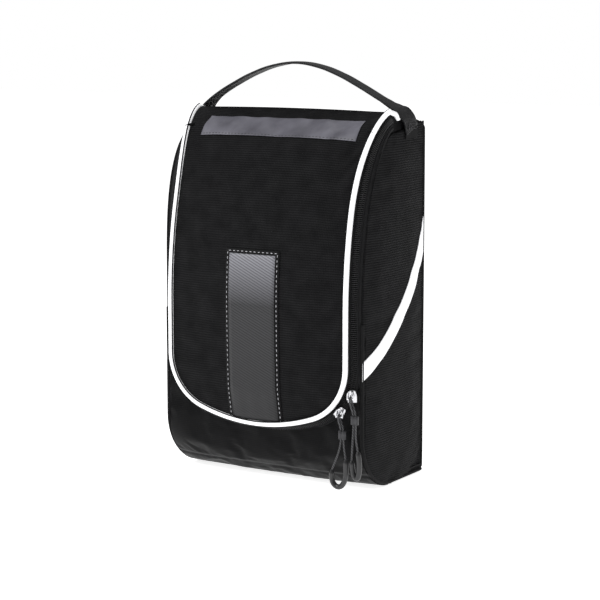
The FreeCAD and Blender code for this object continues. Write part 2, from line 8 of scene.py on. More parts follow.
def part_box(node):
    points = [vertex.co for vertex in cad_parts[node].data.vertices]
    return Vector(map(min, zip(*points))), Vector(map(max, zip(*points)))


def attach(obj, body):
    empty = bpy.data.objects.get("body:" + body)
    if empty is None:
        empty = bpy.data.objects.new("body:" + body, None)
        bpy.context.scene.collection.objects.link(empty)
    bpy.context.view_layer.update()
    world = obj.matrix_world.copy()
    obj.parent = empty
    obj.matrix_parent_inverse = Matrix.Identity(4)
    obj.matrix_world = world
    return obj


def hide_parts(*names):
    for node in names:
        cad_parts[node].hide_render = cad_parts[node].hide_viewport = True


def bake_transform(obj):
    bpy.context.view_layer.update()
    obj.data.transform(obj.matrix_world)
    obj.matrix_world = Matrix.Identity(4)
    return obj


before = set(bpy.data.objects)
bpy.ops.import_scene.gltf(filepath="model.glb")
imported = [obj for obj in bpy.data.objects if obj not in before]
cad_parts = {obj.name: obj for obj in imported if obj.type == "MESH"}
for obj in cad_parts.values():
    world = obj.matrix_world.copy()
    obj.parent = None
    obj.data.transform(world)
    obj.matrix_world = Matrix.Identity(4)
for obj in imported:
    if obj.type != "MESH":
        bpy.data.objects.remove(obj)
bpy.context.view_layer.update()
bpy.ops.object.select_all(action="DESELECT")
MM = 0.001

# ------------------------------------------------------------------ studio
# A pale paper floor under the bag, a big soft box at the front left and one overhead, a weak
# strip light on the right for the side panel, and a long lens a little above the bag.

AZIMUTH, DOWN = math.radians(32.107), math.radians(8.315)
LOOK_AT, DISTANCE = Vector((0.0069, 0.0, 0.1525)), 1.767
away = Vector((math.sin(AZIMUTH) * math.cos(DOWN), -math.cos(AZIMUTH) * math.cos(DOWN),
               math.sin(DOWN)))
bpy.ops.object.camera_add(location=LOOK_AT + away * DISTANCE,
                          rotation=(math.pi / 2 - DOWN, 0, AZIMUTH))
camera = bpy.context.object
camera.data.lens = 121.69
camera.data.sensor_width = 36
bpy.context.scene.camera = camera


def linear(hex_colour):
    """An sRGB hex value as the linear colour that a shader takes."""
    parts = [int(hex_colour[i:i + 2], 16) / 255 for i in (0, 2, 4)]
    return tuple(c / 12.92 if c <= 0.04045 else ((c + 0.055) / 1.055) ** 2.4
                 for c in parts) + (1.0,)


def add_node(material, kind, settings=None, inputs=None):
    """Adds a shader node with its settings, and its inputs as values or links."""
    made = material.node_tree.nodes.new("ShaderNode" + kind)
    for name, value in (settings or {}).items():
        setattr(made, name, value)
    for name, value in (inputs or {}).items():
        if isinstance(value, bpy.types.NodeSocket):
            material.node_tree.links.new(value, made.inputs[name])
        else:
            made.inputs[name].default_value = value
    return made


def new_material(name, **values):
    """An empty material with a Principled shader whose uniform values are set on it."""
    material = bpy.data.materials.new(name)
    material.use_nodes = True
    material.node_tree.nodes.clear()
    shader = add_node(material, "BsdfPrincipled", None, values)
    add_node(material, "OutputMaterial", None, {"Surface": shader.outputs[0]})
    return material, shader


paper, shader = new_material("matte_paper", Roughness=0.9)
shader.inputs["Base Color"].default_value = linear("F7F7F7")
shader.inputs["Emission Color"].default_value = (1, 1, 1, 1)
shader.inputs["Emission Strength"].default_value = 0.85
bpy.ops.mesh.primitive_plane_add(size=12, location=(0, 0, -0.0004))
floor = bpy.context.object
floor.name = "paper_floor"
floor.data.materials.append(paper)

# The surroundings show white, but light the bag with only a third of that strength.
FILL = 0.32
world = bpy.data.worlds.new("white_studio")
world.use_nodes = True
world.node_tree.nodes["Background"].inputs["Color"].default_value = (1, 1, 1, 1)
sky = world.node_tree
ray = sky.nodes.new("ShaderNodeLightPath")
strength = sky.nodes.new("ShaderNodeMapRange")
strength.inputs["To Min"].default_value = FILL
strength.inputs["To Max"].default_value = 1.0
sky.links.new(ray.outputs["Is Camera Ray"], strength.inputs["Value"])
sky.links.new(strength.outputs[0], sky.nodes["Background"].inputs["Strength"])
bpy.context.scene.world = world
bpy.context.scene.view_settings.view_transform = "Standard"


def soft_box(name, place, aim, wide, high, watts):
    """A rectangular soft box that points at a spot on the bag."""
    bpy.ops.object.light_add(type="AREA", location=place)
    lamp = bpy.context.object
    lamp.name = name
    lamp.data.shape = "RECTANGLE"
    lamp.data.size, lamp.data.size_y = wide, high
    lamp.data.energy = watts
    lamp.rotation_euler = (Vector(aim) - Vector(place)).to_track_quat("-Z", "Y").to_euler()


soft_box("key_box", (-0.75, -1.1, 1.25), (0, 0, 0.17), 0.9, 0.9, 17)
soft_box("side_strip", (1.5, -0.2, 0.75), (0.1, 0, 0.16), 0.5, 1.2, 1.2)
soft_box("top_box", (0.1, 0.35, 1.5), (0, 0, 0.2), 1.2, 0.7, 8)

# ------------------------------------------------------------------ flap
# The front flap is one padded panel of ribbed black polyester over foam. It starts in the
# seam on the top edge, bends over the front and ends in a deep U. It bellies out a little,
# because it is cut fuller than the frame of piping that it is sewn into.

ARCH_Y, ARCH_Z, ARCH_DEPTH, ARCH_RISE = 4.0, 150.0, 63.0, 169.0
HINGE_Y = -2.0
FLAP_HALF, CORNER, SOLE, HEM_Z = 88.5, 48.0, 170.0, 53.0
FLARE_Z, FLARE = 236.0, 409.0
CORNER_X = FLAP_HALF - CORNER
SOLE_Z = HEM_Z + SOLE
CORNER_Z = SOLE_Z - math.sqrt((SOLE - CORNER) ** 2 - CORNER_X**2)
CORNER_TURN = math.atan2(SOLE_Z - CORNER_Z, CORNER_X)
FRONT_Y = ARCH_Y - ARCH_DEPTH


def arch_table():
    """The flap's middle line in the side view, from the hinge seam down, with distances."""
    first = math.acos((ARCH_Y - HINGE_Y) / ARCH_DEPTH)
    steps, table, run = 80, [], 0.0
    for i in range(steps + 1):
        turn = first * (1 - i / steps)
        y = ARCH_Y - ARCH_DEPTH * math.cos(turn)
        z = ARCH_Z + ARCH_RISE * math.sin(turn)
        normal = Vector((0, -ARCH_RISE * math.cos(turn), ARCH_DEPTH * math.sin(turn)))
        if table:
            run += math.dist((y, z), table[-1][1:3])
        table.append((run, y, z, normal.normalized()))
    table.append((run + ARCH_Z, FRONT_Y, 0.0, Vector((0, -1, 0))))
    return table


ARCH = arch_table()
ARCH_RUNS = [row[0] for row in ARCH]
STRAIGHT_RUN = ARCH_RUNS[-1] - ARCH_Z


def on_arch(run):
    """Height, depth and outward normal at a distance down from the hinge seam."""
    i = min(max(bisect_right(ARCH_RUNS, run), 1), len(ARCH) - 1)
    low, high = ARCH[i - 1], ARCH[i]
    share = (run - low[0]) / (high[0] - low[0])
    y, z = (low[k] + (high[k] - low[k]) * share for k in (1, 2))
    return y, z, low[3].lerp(high[3], min(max(share, 0), 1)).normalized()


def run_at(height):
    """The distance down the middle line at which it is at a height."""
    if height <= ARCH_Z:
        return STRAIGHT_RUN + ARCH_Z - height
    heights = [-row[2] for row in ARCH]
    i = min(max(bisect_right(heights, -height), 1), len(ARCH) - 1)
    share = (ARCH[i - 1][2] - height) / (ARCH[i - 1][2] - ARCH[i][2])
    return ARCH[i - 1][0] + share * (ARCH[i][0] - ARCH[i - 1][0])


def flap_half_at(height):
    """Half the flap's width: upright sides that flare out near the top."""
    if height <= FLARE_Z:
        return FLAP_HALF
    return FLAP_HALF + FLARE - math.sqrt(FLARE**2 - (height - FLARE_Z) ** 2)


def u_height(x, inset):
    """The height of the U edge, or a line inset from it, at a distance from the middle."""
    x, radius, sole = abs(x), CORNER - inset, SOLE - inset
    if x > CORNER_X + radius * math.cos(CORNER_TURN):
        return CORNER_Z - math.sqrt(max(radius**2 - (x - CORNER_X) ** 2, 0))
    return SOLE_Z - math.sqrt(sole**2 - x**2)


def flap_point(across, down, inset, lift, crown):
    """A point on the flap from -1 to 1 across and 0 to 1 down, and its distances on it."""
    ratio = math.sin(across * math.pi / 2)
    whole = run_at(u_height(ratio * (FLAP_HALF - inset), inset))
    run = down * whole
    y, z, normal = on_arch(run)
    x = ratio * (flap_half_at(z) - inset)
    near_top = min(run / 90, 1.0)
    belly = crown * (1 - ratio**2) * near_top * (2 - near_top) * (1 - down**5)
    place = Vector((x, y, z)) + normal * (lift + belly)
    return place.x, place.y, place.z, x, run


def lay_sheet(name, columns, rows, place, outward):
    """A panel of cloth: a grid laid vertex by vertex on place(u, v), in millimetres. Its UV
    map holds distances on the cloth in metres, so that a weave keeps its size."""
    bpy.ops.mesh.primitive_grid_add(x_subdivisions=columns, y_subdivisions=rows, size=1)
    piece = bpy.context.object
    piece.name = piece.data.name = name
    mesh, cloth = piece.data, []
    for vertex in mesh.vertices:
        x, y, z, across, along = place(vertex.co.x + 0.5, vertex.co.y + 0.5)
        vertex.co = Vector((x, y, z)) * MM
        cloth.append((across * MM, along * MM))
    for loop, corner in zip(mesh.loops, mesh.uv_layers[0].data):
        corner.uv = cloth[loop.vertex_index]
    mesh.update()
    if sum(face.normal.dot(Vector(outward)) * face.area for face in mesh.polygons) < 0:
        mesh.flip_normals()
    mesh.shade_smooth()
    return piece


def shaped(piece, kind, **settings):
    """Adds a modifier with its settings to a piece, and applies it."""
    bpy.context.view_layer.objects.active = piece
    modifier = piece.modifiers.new(kind.title(), kind)
    for name, value in settings.items():
        setattr(modifier, name, value)
    bpy.ops.object.modifier_apply(modifier=modifier.name)
    return piece


SETTLING = 18


def belly_out(piece, pressure, slack, most, held=None):
    """Cloth held at its seams and pushed out by the padding behind it. Slack is how much
    fuller the panel is cut, as a share, and no point moves further than most, in millimetres.
    Held says which other points stay put."""
    mesh = piece.data
    rest = [v.co.copy() for v in mesh.vertices]
    uses = {}
    for face in mesh.polygons:
        for key in face.edge_keys:
            uses[key] = uses.get(key, 0) + 1
    seam = {i for key, count in uses.items() if count == 1 for i in key}
    if held:
        seam |= {i for i, co in enumerate(rest) if held(co / MM)}
    group = piece.vertex_groups.new(name="seam")
    group.add(list(seam), 1.0, "REPLACE")
    cloth = piece.modifiers.new("cloth", "CLOTH").settings
    cloth.quality = 5
    cloth.mass = 0.15
    cloth.tension_stiffness = cloth.compression_stiffness = 15
    cloth.shear_stiffness = 8
    cloth.bending_stiffness = 1.5
    cloth.vertex_group_mass = group.name
    cloth.use_pressure = True
    cloth.uniform_pressure_force = pressure
    cloth.shrink_min = -slack
    cloth.effector_weights.gravity = 0
    for step in range(1, SETTLING + 1):
        bpy.context.scene.frame_set(step)
    settled = piece.evaluated_get(bpy.context.evaluated_depsgraph_get())
    moved = [v.co.copy() for v in settled.data.vertices]
    piece.modifiers.clear()
    piece.vertex_groups.clear()
    bpy.context.scene.frame_set(1)
    for vertex, start, end in zip(mesh.vertices, rest, moved):
        move = end - start
        if move.length > most * MM:
            move *= most * MM / move.length
        vertex.co = start + move
    mesh.update()


def woven(name, dark, light, rib, thread, relief, **values):
    """Woven cloth: ribs across the panel with threads between them, sizes in millimetres.
    The colour is painted light on the tops of the ribs and dark in the grooves between them:
    a painted highlight and painted shade, laid over the bump."""
    material, shader = new_material(name, **values)
    uv = add_node(material, "UVMap")
    wander = add_node(material, "TexNoise", None,
                      {"Vector": uv.outputs[0], "Scale": 1 / (30 * MM), "Detail": 2.0})
    drift = add_node(material, "Math", {"operation": "MULTIPLY"},
                     {0: wander.outputs[0], 1: rib * MM * 0.8})
    split = add_node(material, "SeparateXYZ", None, {0: uv.outputs[0]})
    tops = []
    for axis, spacing in (("Y", rib), ("X", thread)):
        place = add_node(material, "Math", {"operation": "ADD"},
                         {0: split.outputs[axis], 1: drift.outputs[0]})
        turn = add_node(material, "Math", {"operation": "MULTIPLY"},
                        {0: place.outputs[0], 1: math.pi / (spacing * MM)})
        wave = add_node(material, "Math", {"operation": "SINE"}, {0: turn.outputs[0]})
        tops.append(add_node(material, "Math", {"operation": "ABSOLUTE"},
                             {0: wave.outputs[0]}))
    fine = add_node(material, "Math", {"operation": "MULTIPLY"},
                    {0: tops[1].outputs[0], 1: 0.4})
    height = add_node(material, "Math", {"operation": "ADD"},
                      {0: tops[0].outputs[0], 1: fine.outputs[0]})
    cloud = add_node(material, "TexNoise", None,
                     {"Vector": uv.outputs[0], "Scale": 1 / (14 * MM), "Detail": 4.0})
    shade = add_node(material, "Math", {"operation": "MULTIPLY"},
                     {0: height.outputs[0], 1: cloud.outputs[0]})
    # The rib tops take the light colour and the grooves the dark one: painted highlight and
    # painted shade, varied by the cloud noise.
    colour = add_node(material, "ValToRGB", None, {0: shade.outputs[0]})
    colour.color_ramp.elements[0].color = linear(dark)
    colour.color_ramp.elements[1].color = linear(light)
    bump = add_node(material, "Bump", None, {"Height": height.outputs[0], "Strength": 0.6,
                                             "Distance": relief * MM})
    links = material.node_tree.links
    links.new(colour.outputs[0], shader.inputs["Base Color"])
    links.new(bump.outputs[0], shader.inputs["Normal"])
    return material


# Ribbed polyester, calendered: dull black. Its lighter colour is a faint painted sheen on the
# rib tops, and its darker one is painted shade in the grooves. The real rib is about 0.7 mm,
# drawn at
# 2 mm so that it shows.
ribbed_polyester = woven("ribbed_polyester", "050506", "212122", 2.0, 1.5, 0.4,
                         **{"Roughness": 0.6, "IOR": 1.5, "Specular IOR Level": 0.05})
# Plain nylon lining: a finer, flatter weave.
nylon_lining = woven("nylon_lining", "1A1A1C", "343437", 1.6, 1.6, 0.12,
                     **{"Roughness": 0.55, "Specular IOR Level": 0.2})


def finish_piece(piece, material, body, nodes=()):
    """Gives a piece its material and slot, and fixes it to its body."""
    piece.data.materials.clear()
    piece.data.materials.append(material)
    if nodes:
        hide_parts(*nodes)
    if body:
        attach(piece, body)
    return piece


guides = []


def skin_of(piece):
    """A copy of a laid panel, as a guide for what is sewn onto it. It goes at the end."""
    skin = piece.copy()
    skin.data = piece.data.copy()
    bpy.context.collection.objects.link(skin)
    bpy.context.view_layer.update()
    guides.append(skin)
    return skin


FOAM = 4.4
flap = lay_sheet("padded_flap", 72, 120,
                 lambda u, v: flap_point(2 * u - 1, v, 2.0, 0.2, 4.5), (0, -1, 0.2))
belly_out(flap, 3.0, 0.006, 3.0)
shaped(flap, "SUBSURF", levels=1, render_levels=1, boundary_smooth="PRESERVE_CORNERS")
flap_skin = skin_of(flap)
shaped(flap, "SOLIDIFY", thickness=FOAM * MM, offset=-1)
finish_piece(flap, ribbed_polyester, "flap", ["flap_panel", "flap_foam"])

flap_inside = lay_sheet("flap_lining_sheet", 48, 80,
                        lambda u, v: flap_point(2 * u - 1, v, 4.0, -5.2, 2.0), (0, 1, -0.2))
shaped(flap_inside, "SOLIDIFY", thickness=0.5 * MM, offset=-1)
finish_piece(flap_inside, nylon_lining, "flap", ["flap_lining"])

# ------------------------------------------------------------------ flap piping
# Round cord under a smooth white PVC cover, sewn into the flap's edge all the way round the
# U. It stands proud of the cloth and has a soft gloss.

SIDE_LEAN, SOLE_LEAN, TOP_LEAN = (math.radians(angle) for angle in (42, 54, 80))
EDGE_STEP = 2.0
SIDES = (("left", -1), ("right", 1))


def edge_stations():
    """Stations round half the flap's edge, from the hinge seam to the middle of the hem:
    place, outward and inward directions, and the lean of the zipper band."""
    stations = []
    top = on_arch(0.0)[1]
    whole = run_at(CORNER_Z)
    for i in range(int(whole / EDGE_STEP)):
        y, z, normal = on_arch(i * EDGE_STEP)
        rise = max(z - FLARE_Z, 0) / (top - FLARE_Z)
        lean = SIDE_LEAN + (TOP_LEAN - SIDE_LEAN) * rise**2
        stations.append((Vector((flap_half_at(z), y, z)), Vector((1, 0, 0)), -normal, lean))
    back = Vector((0, 1, 0))
    count = int(CORNER * CORNER_TURN / EDGE_STEP)
    for i in range(count):
        turn = -CORNER_TURN * i / count
        outward = Vector((math.cos(turn), 0, math.sin(turn)))
        place = Vector((CORNER_X, FRONT_Y, CORNER_Z)) + outward * CORNER
        stations.append((place, outward, back, SIDE_LEAN))
    sole_turn = math.pi / 2 - CORNER_TURN
    count = int(SOLE * sole_turn / EDGE_STEP)
    for i in range(count + 1):
        turn = -CORNER_TURN - sole_turn * i / count
        outward = Vector((math.cos(turn), 0, math.sin(turn)))
        place = Vector((0, FRONT_Y, SOLE_Z)) + outward * SOLE
        lean = SIDE_LEAN + (SOLE_LEAN - SIDE_LEAN) * i / count
        stations.append((place, outward, back, lean))
    return stations


def whole_edge():
    """Stations all round the flap's edge, from the right end of the hinge seam to the left."""
    half = edge_stations()
    flip = Matrix.Scale(-1, 3, (1, 0, 0))
    other = [(flip @ place, flip @ outward, inward, lean)
             for place, outward, inward, lean in reversed(half[:-1])]
    return half + other


EDGE = whole_edge()


def beside_edge(station, across, through):
    """A point beside the edge: across the zipper band, and through it into the bag."""
    place, outward, inward, lean = station
    run = outward * math.cos(lean) + inward * math.sin(lean)
    into = inward * math.cos(lean) - outward * math.sin(lean)
    return place + run * across + into * through


def smooth_path(name, points, smooth, closed=False):
    """A smooth path led by points in the bag's space, in millimetres, as a bare curve."""
    bpy.ops.curve.primitive_nurbs_path_add()
    piece = bpy.context.object
    piece.name = piece.data.name = name
    piece.data.splines.clear()
    spline = piece.data.splines.new("NURBS")
    spline.points.add(len(points) - 1)
    for knot, place in zip(spline.points, points):
        knot.co = (*(Vector(place) * MM), 1)
    spline.order_u = 3
    spline.use_endpoint_u = not closed
    spline.use_cyclic_u = closed
    spline.resolution_u = smooth
    return piece


def thickened(path, diameter, sides):
    """Gives a path a round section, in millimetres, and closes its ends."""
    path.data.bevel_depth = diameter * MM / 2
    path.data.bevel_resolution = sides
    path.data.use_fill_caps = True
    return path


def round_cord(name, points, diameter, sides=3, smooth=4, closed=False):
    """A round cord on a smooth path through the bag's space, in millimetres, as a mesh."""
    thickened(smooth_path(name, points, smooth, closed), diameter, sides)
    bpy.ops.object.convert(target="MESH")
    piece = bpy.context.object
    piece.data.shade_smooth()
    bpy.ops.object.select_all(action="DESELECT")
    return piece


def mottled(name, dark, light, grain, detail, strength=None, relief=None, **values):
    """A material whose colour wanders between two, in patches of a size in millimetres.
    With a strength and a relief in millimetres, its surface rises and falls with them."""
    material, shader = new_material(name, **values)
    patches = add_node(material, "TexNoise", None, {
        "Vector": add_node(material, "TexCoord").outputs["Object"],
        "Scale": 1 / (grain * MM), "Detail": detail})
    tint = add_node(material, "ValToRGB", None, {0: patches.outputs[0]})
    tint.color_ramp.elements[0].color = linear(dark)
    tint.color_ramp.elements[1].color = linear(light)
    material.node_tree.links.new(tint.outputs[0], shader.inputs["Base Color"])
    if strength:
        bump = add_node(material, "Bump", None, {
            "Height": patches.outputs[0], "Strength": strength, "Distance": relief * MM})
        material.node_tree.links.new(bump.outputs[0], shader.inputs["Normal"])
    return material


# White PVC piping cover: extruded smooth, a soft gloss with faint handling marks. It has a
# painted glow: a faint emission that lifts its shaded sides towards flat white.
white_pvc = mottled("white_pvc_cover_painted_glow", "F0F0F2", "FBFBFC", 25, 3.0,
                    **{"Roughness": 0.34, "IOR": 1.5, "Emission Color": linear("F4F4F6"),
                       "Emission Strength": 0.22})
# Bound black edging: a dense, dull twill tape.
black_tape = mottled("black_edge_tape", "060607", "19191A", 0.9, 2.0, 0.5, 0.2,
                     **{"Roughness": 0.7, "Specular IOR Level": 0.15})

PIPING = 4.6
piping = round_cord("white_piping", [s[0] - s[2] * 0.6 for s in EDGE], PIPING, 4, 2)
finish_piece(piping, white_pvc, "flap", ["flap_piping"])

# The sewn-in flanges of the piping show as a thin black line on each side of it.
for word, across, through in (("inner", -2.5, 0.1), ("outer", 2.4, 0.3)):
    line = [beside_edge(s, across, through) for s in EDGE]
    seam = round_cord(f"piping_{word}_seam", line, 1.3, 2, 1)
    finish_piece(seam, black_tape, "flap")

# Past the hinge seam each end of the piping runs on over the shoulder and is tucked in.
for word, side in SIDES:
    x = flap_half_at(on_arch(0.0)[1])
    tail = [(side * x, HINGE_Y + 0.2, 318.0), (side * (x + 0.4), 3.0, 317.2),
            (side * (x + 0.6), 8.0, 315.4), (side * (x + 0.3), 11.5, 312.0)]
    end = round_cord(f"piping_tail_{word}", tail, PIPING - 0.3, 4, 6)
    finish_piece(end, white_pvc, "bag")

# ------------------------------------------------------------------ zipper
# A black nylon coil zipper on an oblique band between flap and body. Each tape carries a
# coil, whose loops interlock along the middle. The body tape ends in the side seam.

GUSSET, COIL_EDGE = 14.2, 9.4
SWELL, SWELL_LOW, SWELL_REACH = 9.0, 150, 150


def left_swell(y, z):
    """How far the left side stands out, where the bag's upper left has been filled out."""
    rise = min(max((z - SWELL_LOW) / SWELL_REACH, 0), 1)
    near_front = min(max((57 - y) / 75, 0), 1)
    return SWELL * rise * rise * (3 - 2 * rise) * near_front ** 0.7


def swollen(spot, share=1.0):
    """A place on the body, moved out where it is on the left side."""
    if spot.x >= 0:
        return spot
    return spot - Vector((share * left_swell(spot.y, spot.z), 0, 0))


def band_share(across):
    """The part of the zipper band past the coil is drawn out with the side."""
    return min(max((across - COIL_EDGE) / (GUSSET - COIL_EDGE), 0), 1)


def edge_band(name, near, far, through, columns):
    """A strip of tape along the whole U edge, between two distances across the band."""
    last = len(EDGE) - 1

    def place(u, v):
        station = EDGE[round(v * last)]
        across = near + (far - near) * u
        spot = swollen(beside_edge(station, across, through), band_share(across))
        return spot.x, spot.y, spot.z, across, v * last * EDGE_STEP

    return lay_sheet(name, columns, last, place, (0, -1, 0))


# Woven polyester zipper tape: narrow, dense and dull, with fine cross ribs.
zipper_tape = woven("zipper_tape", "060607", "202022", 1.4, 1.4, 0.2,
                    **{"Roughness": 0.6, "Specular IOR Level": 0.2})
tape = edge_band("body_zip_tape", 8.6, GUSSET + 1.0, 1.0, 6)
shaped(tape, "SOLIDIFY", thickness=0.7 * MM, offset=-1)
finish_piece(tape, zipper_tape, "bag", ["zip_tape_body"])
tape = edge_band("flap_zip_tape", -1.0, 6.2, 1.3, 4)
shaped(tape, "SOLIDIFY", thickness=0.7 * MM, offset=-1)
finish_piece(tape, zipper_tape, "flap", ["zip_tape_flap"])

# Two raised lines of stitching hold the body tape down.
for word, across in (("near", 11.2), ("far", 13.4)):
    line = [swollen(beside_edge(s, across, 0.9), band_share(across)) for s in EDGE]
    seam = round_cord(f"tape_{word}_line", line, 0.8, 1, 1)
    finish_piece(seam, zipper_tape, "bag")


def pattern_mesh(name):
    """The mesh of the object just modelled, taken as a pattern, and the object removed."""
    made = bpy.context.object
    bpy.ops.object.mode_set(mode="OBJECT")
    bpy.ops.object.transform_apply(location=True, rotation=True, scale=True)
    mesh = made.data
    mesh.name = name
    mesh.use_fake_user = True
    bpy.data.objects.remove(made)
    return mesh


def joined(whole, *parts):
    """Joins other objects into one, and leaves nothing selected."""
    bpy.ops.object.select_all(action="DESELECT")
    for part in (*parts, whole):
        part.select_set(True)
    bpy.context.view_layer.objects.active = whole
    bpy.ops.object.join()
    bpy.ops.object.select_all(action="DESELECT")
    return whole


def repeated(name, pattern, places):
    """Copies of one small shape as one piece; each place is a matrix in millimetres."""
    points, faces = [], []
    for place in places:
        start = len(points)
        points += [(place @ v.co) * MM for v in pattern.vertices]
        faces += [[start + i for i in face.vertices] for face in pattern.polygons]
    mesh = bpy.data.meshes.new(name)
    mesh.from_pydata(points, [], faces)
    mesh.shade_smooth()
    piece = bpy.data.objects.new(name, mesh)
    bpy.context.collection.objects.link(piece)
    return piece


# One loop of the coil: a short rounded bar, thicker at its interlocking head.
bpy.ops.mesh.primitive_cube_add(size=1)
bpy.ops.transform.resize(value=(3.4, 0.85, 1.5))
bpy.ops.object.mode_set(mode="EDIT")
bpy.ops.mesh.select_all(action="SELECT")
bpy.ops.mesh.bevel(offset=0.3, segments=1, affect="EDGES")
coil_loop = pattern_mesh("coil_loop")

# Moulded nylon monofilament: hard, smooth and slightly glossy.
nylon_coil = mottled("nylon_coil", "0B0B0C", "1C1C1E", 6, 2.0,
                     **{"Roughness": 0.3, "IOR": 1.53, "Specular IOR Level": 0.4})

COIL_PITCH = 1.7


def coil_places(across, offset):
    """Where the loops of a coil lie: evenly spaced, each square to the edge."""
    places, wanted, run = [], offset, 0.0
    for first, second in zip(EDGE, EDGE[1:]):
        start, end = beside_edge(first, across, 0.2), beside_edge(second, across, 0.2)
        length = (end - start).length
        while wanted <= run + length:
            along = (end - start).normalized()
            place, outward, inward, lean = first
            wide = outward * math.cos(lean) + inward * math.sin(lean)
            wide = (wide - along * wide.dot(along)).normalized()
            turn = Matrix((wide, along, wide.cross(along))).transposed().to_4x4()
            spot = start + (end - start) * ((wanted - run) / length)
            places.append(Matrix.Translation(spot) @ turn)
            wanted += COIL_PITCH
        run += length
    return places


for word, across, offset, body, node in (
    ("body", 7.9, 0.0, "bag", "zip_coil_body"),
    ("flap", 5.9, COIL_PITCH / 2, "flap", "zip_coil_flap"),
):
    coil = repeated(f"{word}_zip_coil", coil_loop, coil_places(across, offset))
    finish_piece(coil, nylon_coil, body, [node])


# ------------------------------------------------------------------ label patch
# A blank satin patch across the top of the flap, grey with a lilac cast. It is coated
# cloth, sewn down along its edges, so it follows the flap's bend.

LABEL_HALF, LABEL_MIDDLE, LABEL_LOW, LABEL_HIGH = 78.0, 2.5, 294.0, 311.6


REACH = 20


def above_skin(skin, spot, normal, lift):
    """The place on a laid skin straight under a spot, lifted off it, and the direction that
    it was lifted in."""
    found, place, _, _ = skin.ray_cast((spot + normal * REACH) * MM, -normal)
    return (place / MM if found else spot) + normal * lift, normal


def laid_on_flap(name, columns, rows, left, right, high, low, lift):
    """A patch on the flap between two places across and two heights down its middle line."""
    start, end = run_at(high), run_at(low)

    def place(u, v):
        run = start + (end - start) * v
        y, z, normal = on_arch(run)
        x = left + (right - left) * u
        spot = above_skin(flap_skin, Vector((x, y, z)), normal, lift)[0]
        return spot.x, spot.y, spot.z, x, run

    return lay_sheet(name, columns, rows, place, (0, -1, 0.3))


# Satin-coated patch: smooth, a soft sheen, slightly mottled where it has been handled.
label_satin, shader = new_material("label_satin", Roughness=0.42, IOR=1.45)
uv = add_node(label_satin, "UVMap")
mottle = add_node(label_satin, "TexNoise", None,
                  {"Vector": uv.outputs[0], "Scale": 1 / (22 * MM), "Detail": 5.0})
tint = add_node(label_satin, "ValToRGB", None, {0: mottle.outputs[0]})
tint.color_ramp.elements[0].position, tint.color_ramp.elements[1].position = 0.3, 0.75
tint.color_ramp.elements[0].color = linear("47464E")
tint.color_ramp.elements[1].color = linear("6C6B74")
label_satin.node_tree.links.new(tint.outputs[0], shader.inputs["Base Color"])

label = laid_on_flap("label_patch_satin", 60, 8, LABEL_MIDDLE - LABEL_HALF,
                     LABEL_MIDDLE + LABEL_HALF, LABEL_HIGH, LABEL_LOW, 0.3)
shaped(label, "SOLIDIFY", thickness=0.5 * MM, offset=1)
shaped(label, "BEVEL", width=0.2 * MM, segments=2, limit_method="ANGLE")
finish_piece(label, label_satin, "flap", ["label_patch"])

# ------------------------------------------------------------------ trim strip
# A vertical strip of satin twill down the middle of the flap, framed by a black tape that
# is sewn on with light thread. The strip is lighter at its top than at its foot: partly its
# dye, partly a painted sheen where its top faces the overhead light.

TRIM_HALF, TRIM_TOP, TRIM_BORDER = 23.0, 198.0, 4.0
TRIM_FOOT = u_height(0, 0) + 2.5

backing = laid_on_flap("trim_tape", 16, 60, -TRIM_HALF - TRIM_BORDER, TRIM_HALF + TRIM_BORDER,
                       TRIM_TOP + TRIM_BORDER, TRIM_FOOT, 0.2)
shaped(backing, "SOLIDIFY", thickness=0.5 * MM, offset=1)
finish_piece(backing, black_tape, "flap", ["trim_backing"])

trim_satin, shader = new_material("satin_twill_painted_sheen", **{"Roughness": 0.4, "IOR": 1.5,
                                                   "Specular IOR Level": 0.3})
uv = add_node(trim_satin, "UVMap")
split = add_node(trim_satin, "SeparateXYZ", None, {0: uv.outputs[0]})
# Light at the top to dark at the foot: partly the strip's dye, partly a painted sheen on the
# top, where it faces the overhead light.
fade = add_node(trim_satin, "MapRange", None, {
    "Value": split.outputs["Y"], "From Min": run_at(TRIM_TOP) * MM,
    "From Max": run_at(TRIM_FOOT) * MM})
dye_and_painted_sheen = add_node(trim_satin, "ValToRGB", None, {0: fade.outputs[0]})
dye_and_painted_sheen.color_ramp.elements[0].color = linear("808086")
dye_and_painted_sheen.color_ramp.elements[1].color = linear("1B1B1D")
middle = dye_and_painted_sheen.color_ramp.elements.new(0.3)
middle.color = linear("2E2E30")
steep = add_node(trim_satin, "Math", {"operation": "MULTIPLY"},
                 {0: split.outputs["X"], 1: -0.45})
slant = add_node(trim_satin, "Math", {"operation": "ADD"},
                 {0: steep.outputs[0], 1: split.outputs["Y"]})
twill = add_node(trim_satin, "Math", {"operation": "MULTIPLY"},
                 {0: slant.outputs[0], 1: math.pi / (2.4 * MM)})
wale = add_node(trim_satin, "Math", {"operation": "SINE"}, {0: twill.outputs[0]})
wale = add_node(trim_satin, "Math", {"operation": "ABSOLUTE"}, {0: wale.outputs[0]})
# The wales are painted lighter and the hollows between them darker: painted highlight and
# painted shade along the twill.
painted_wale_light = add_node(trim_satin, "MapRange", None,
               {"Value": wale.outputs[0], "To Min": 0.45, "To Max": 1.3})
cloth = add_node(trim_satin, "VectorMath", {"operation": "SCALE"},
                 {0: dye_and_painted_sheen.outputs[0], "Scale": painted_wale_light.outputs[0]})
bump = add_node(trim_satin, "Bump", None,
                {"Height": wale.outputs[0], "Strength": 0.5, "Distance": 0.2 * MM})
trim_satin.node_tree.links.new(cloth.outputs[0], shader.inputs["Base Color"])
trim_satin.node_tree.links.new(bump.outputs[0], shader.inputs["Normal"])

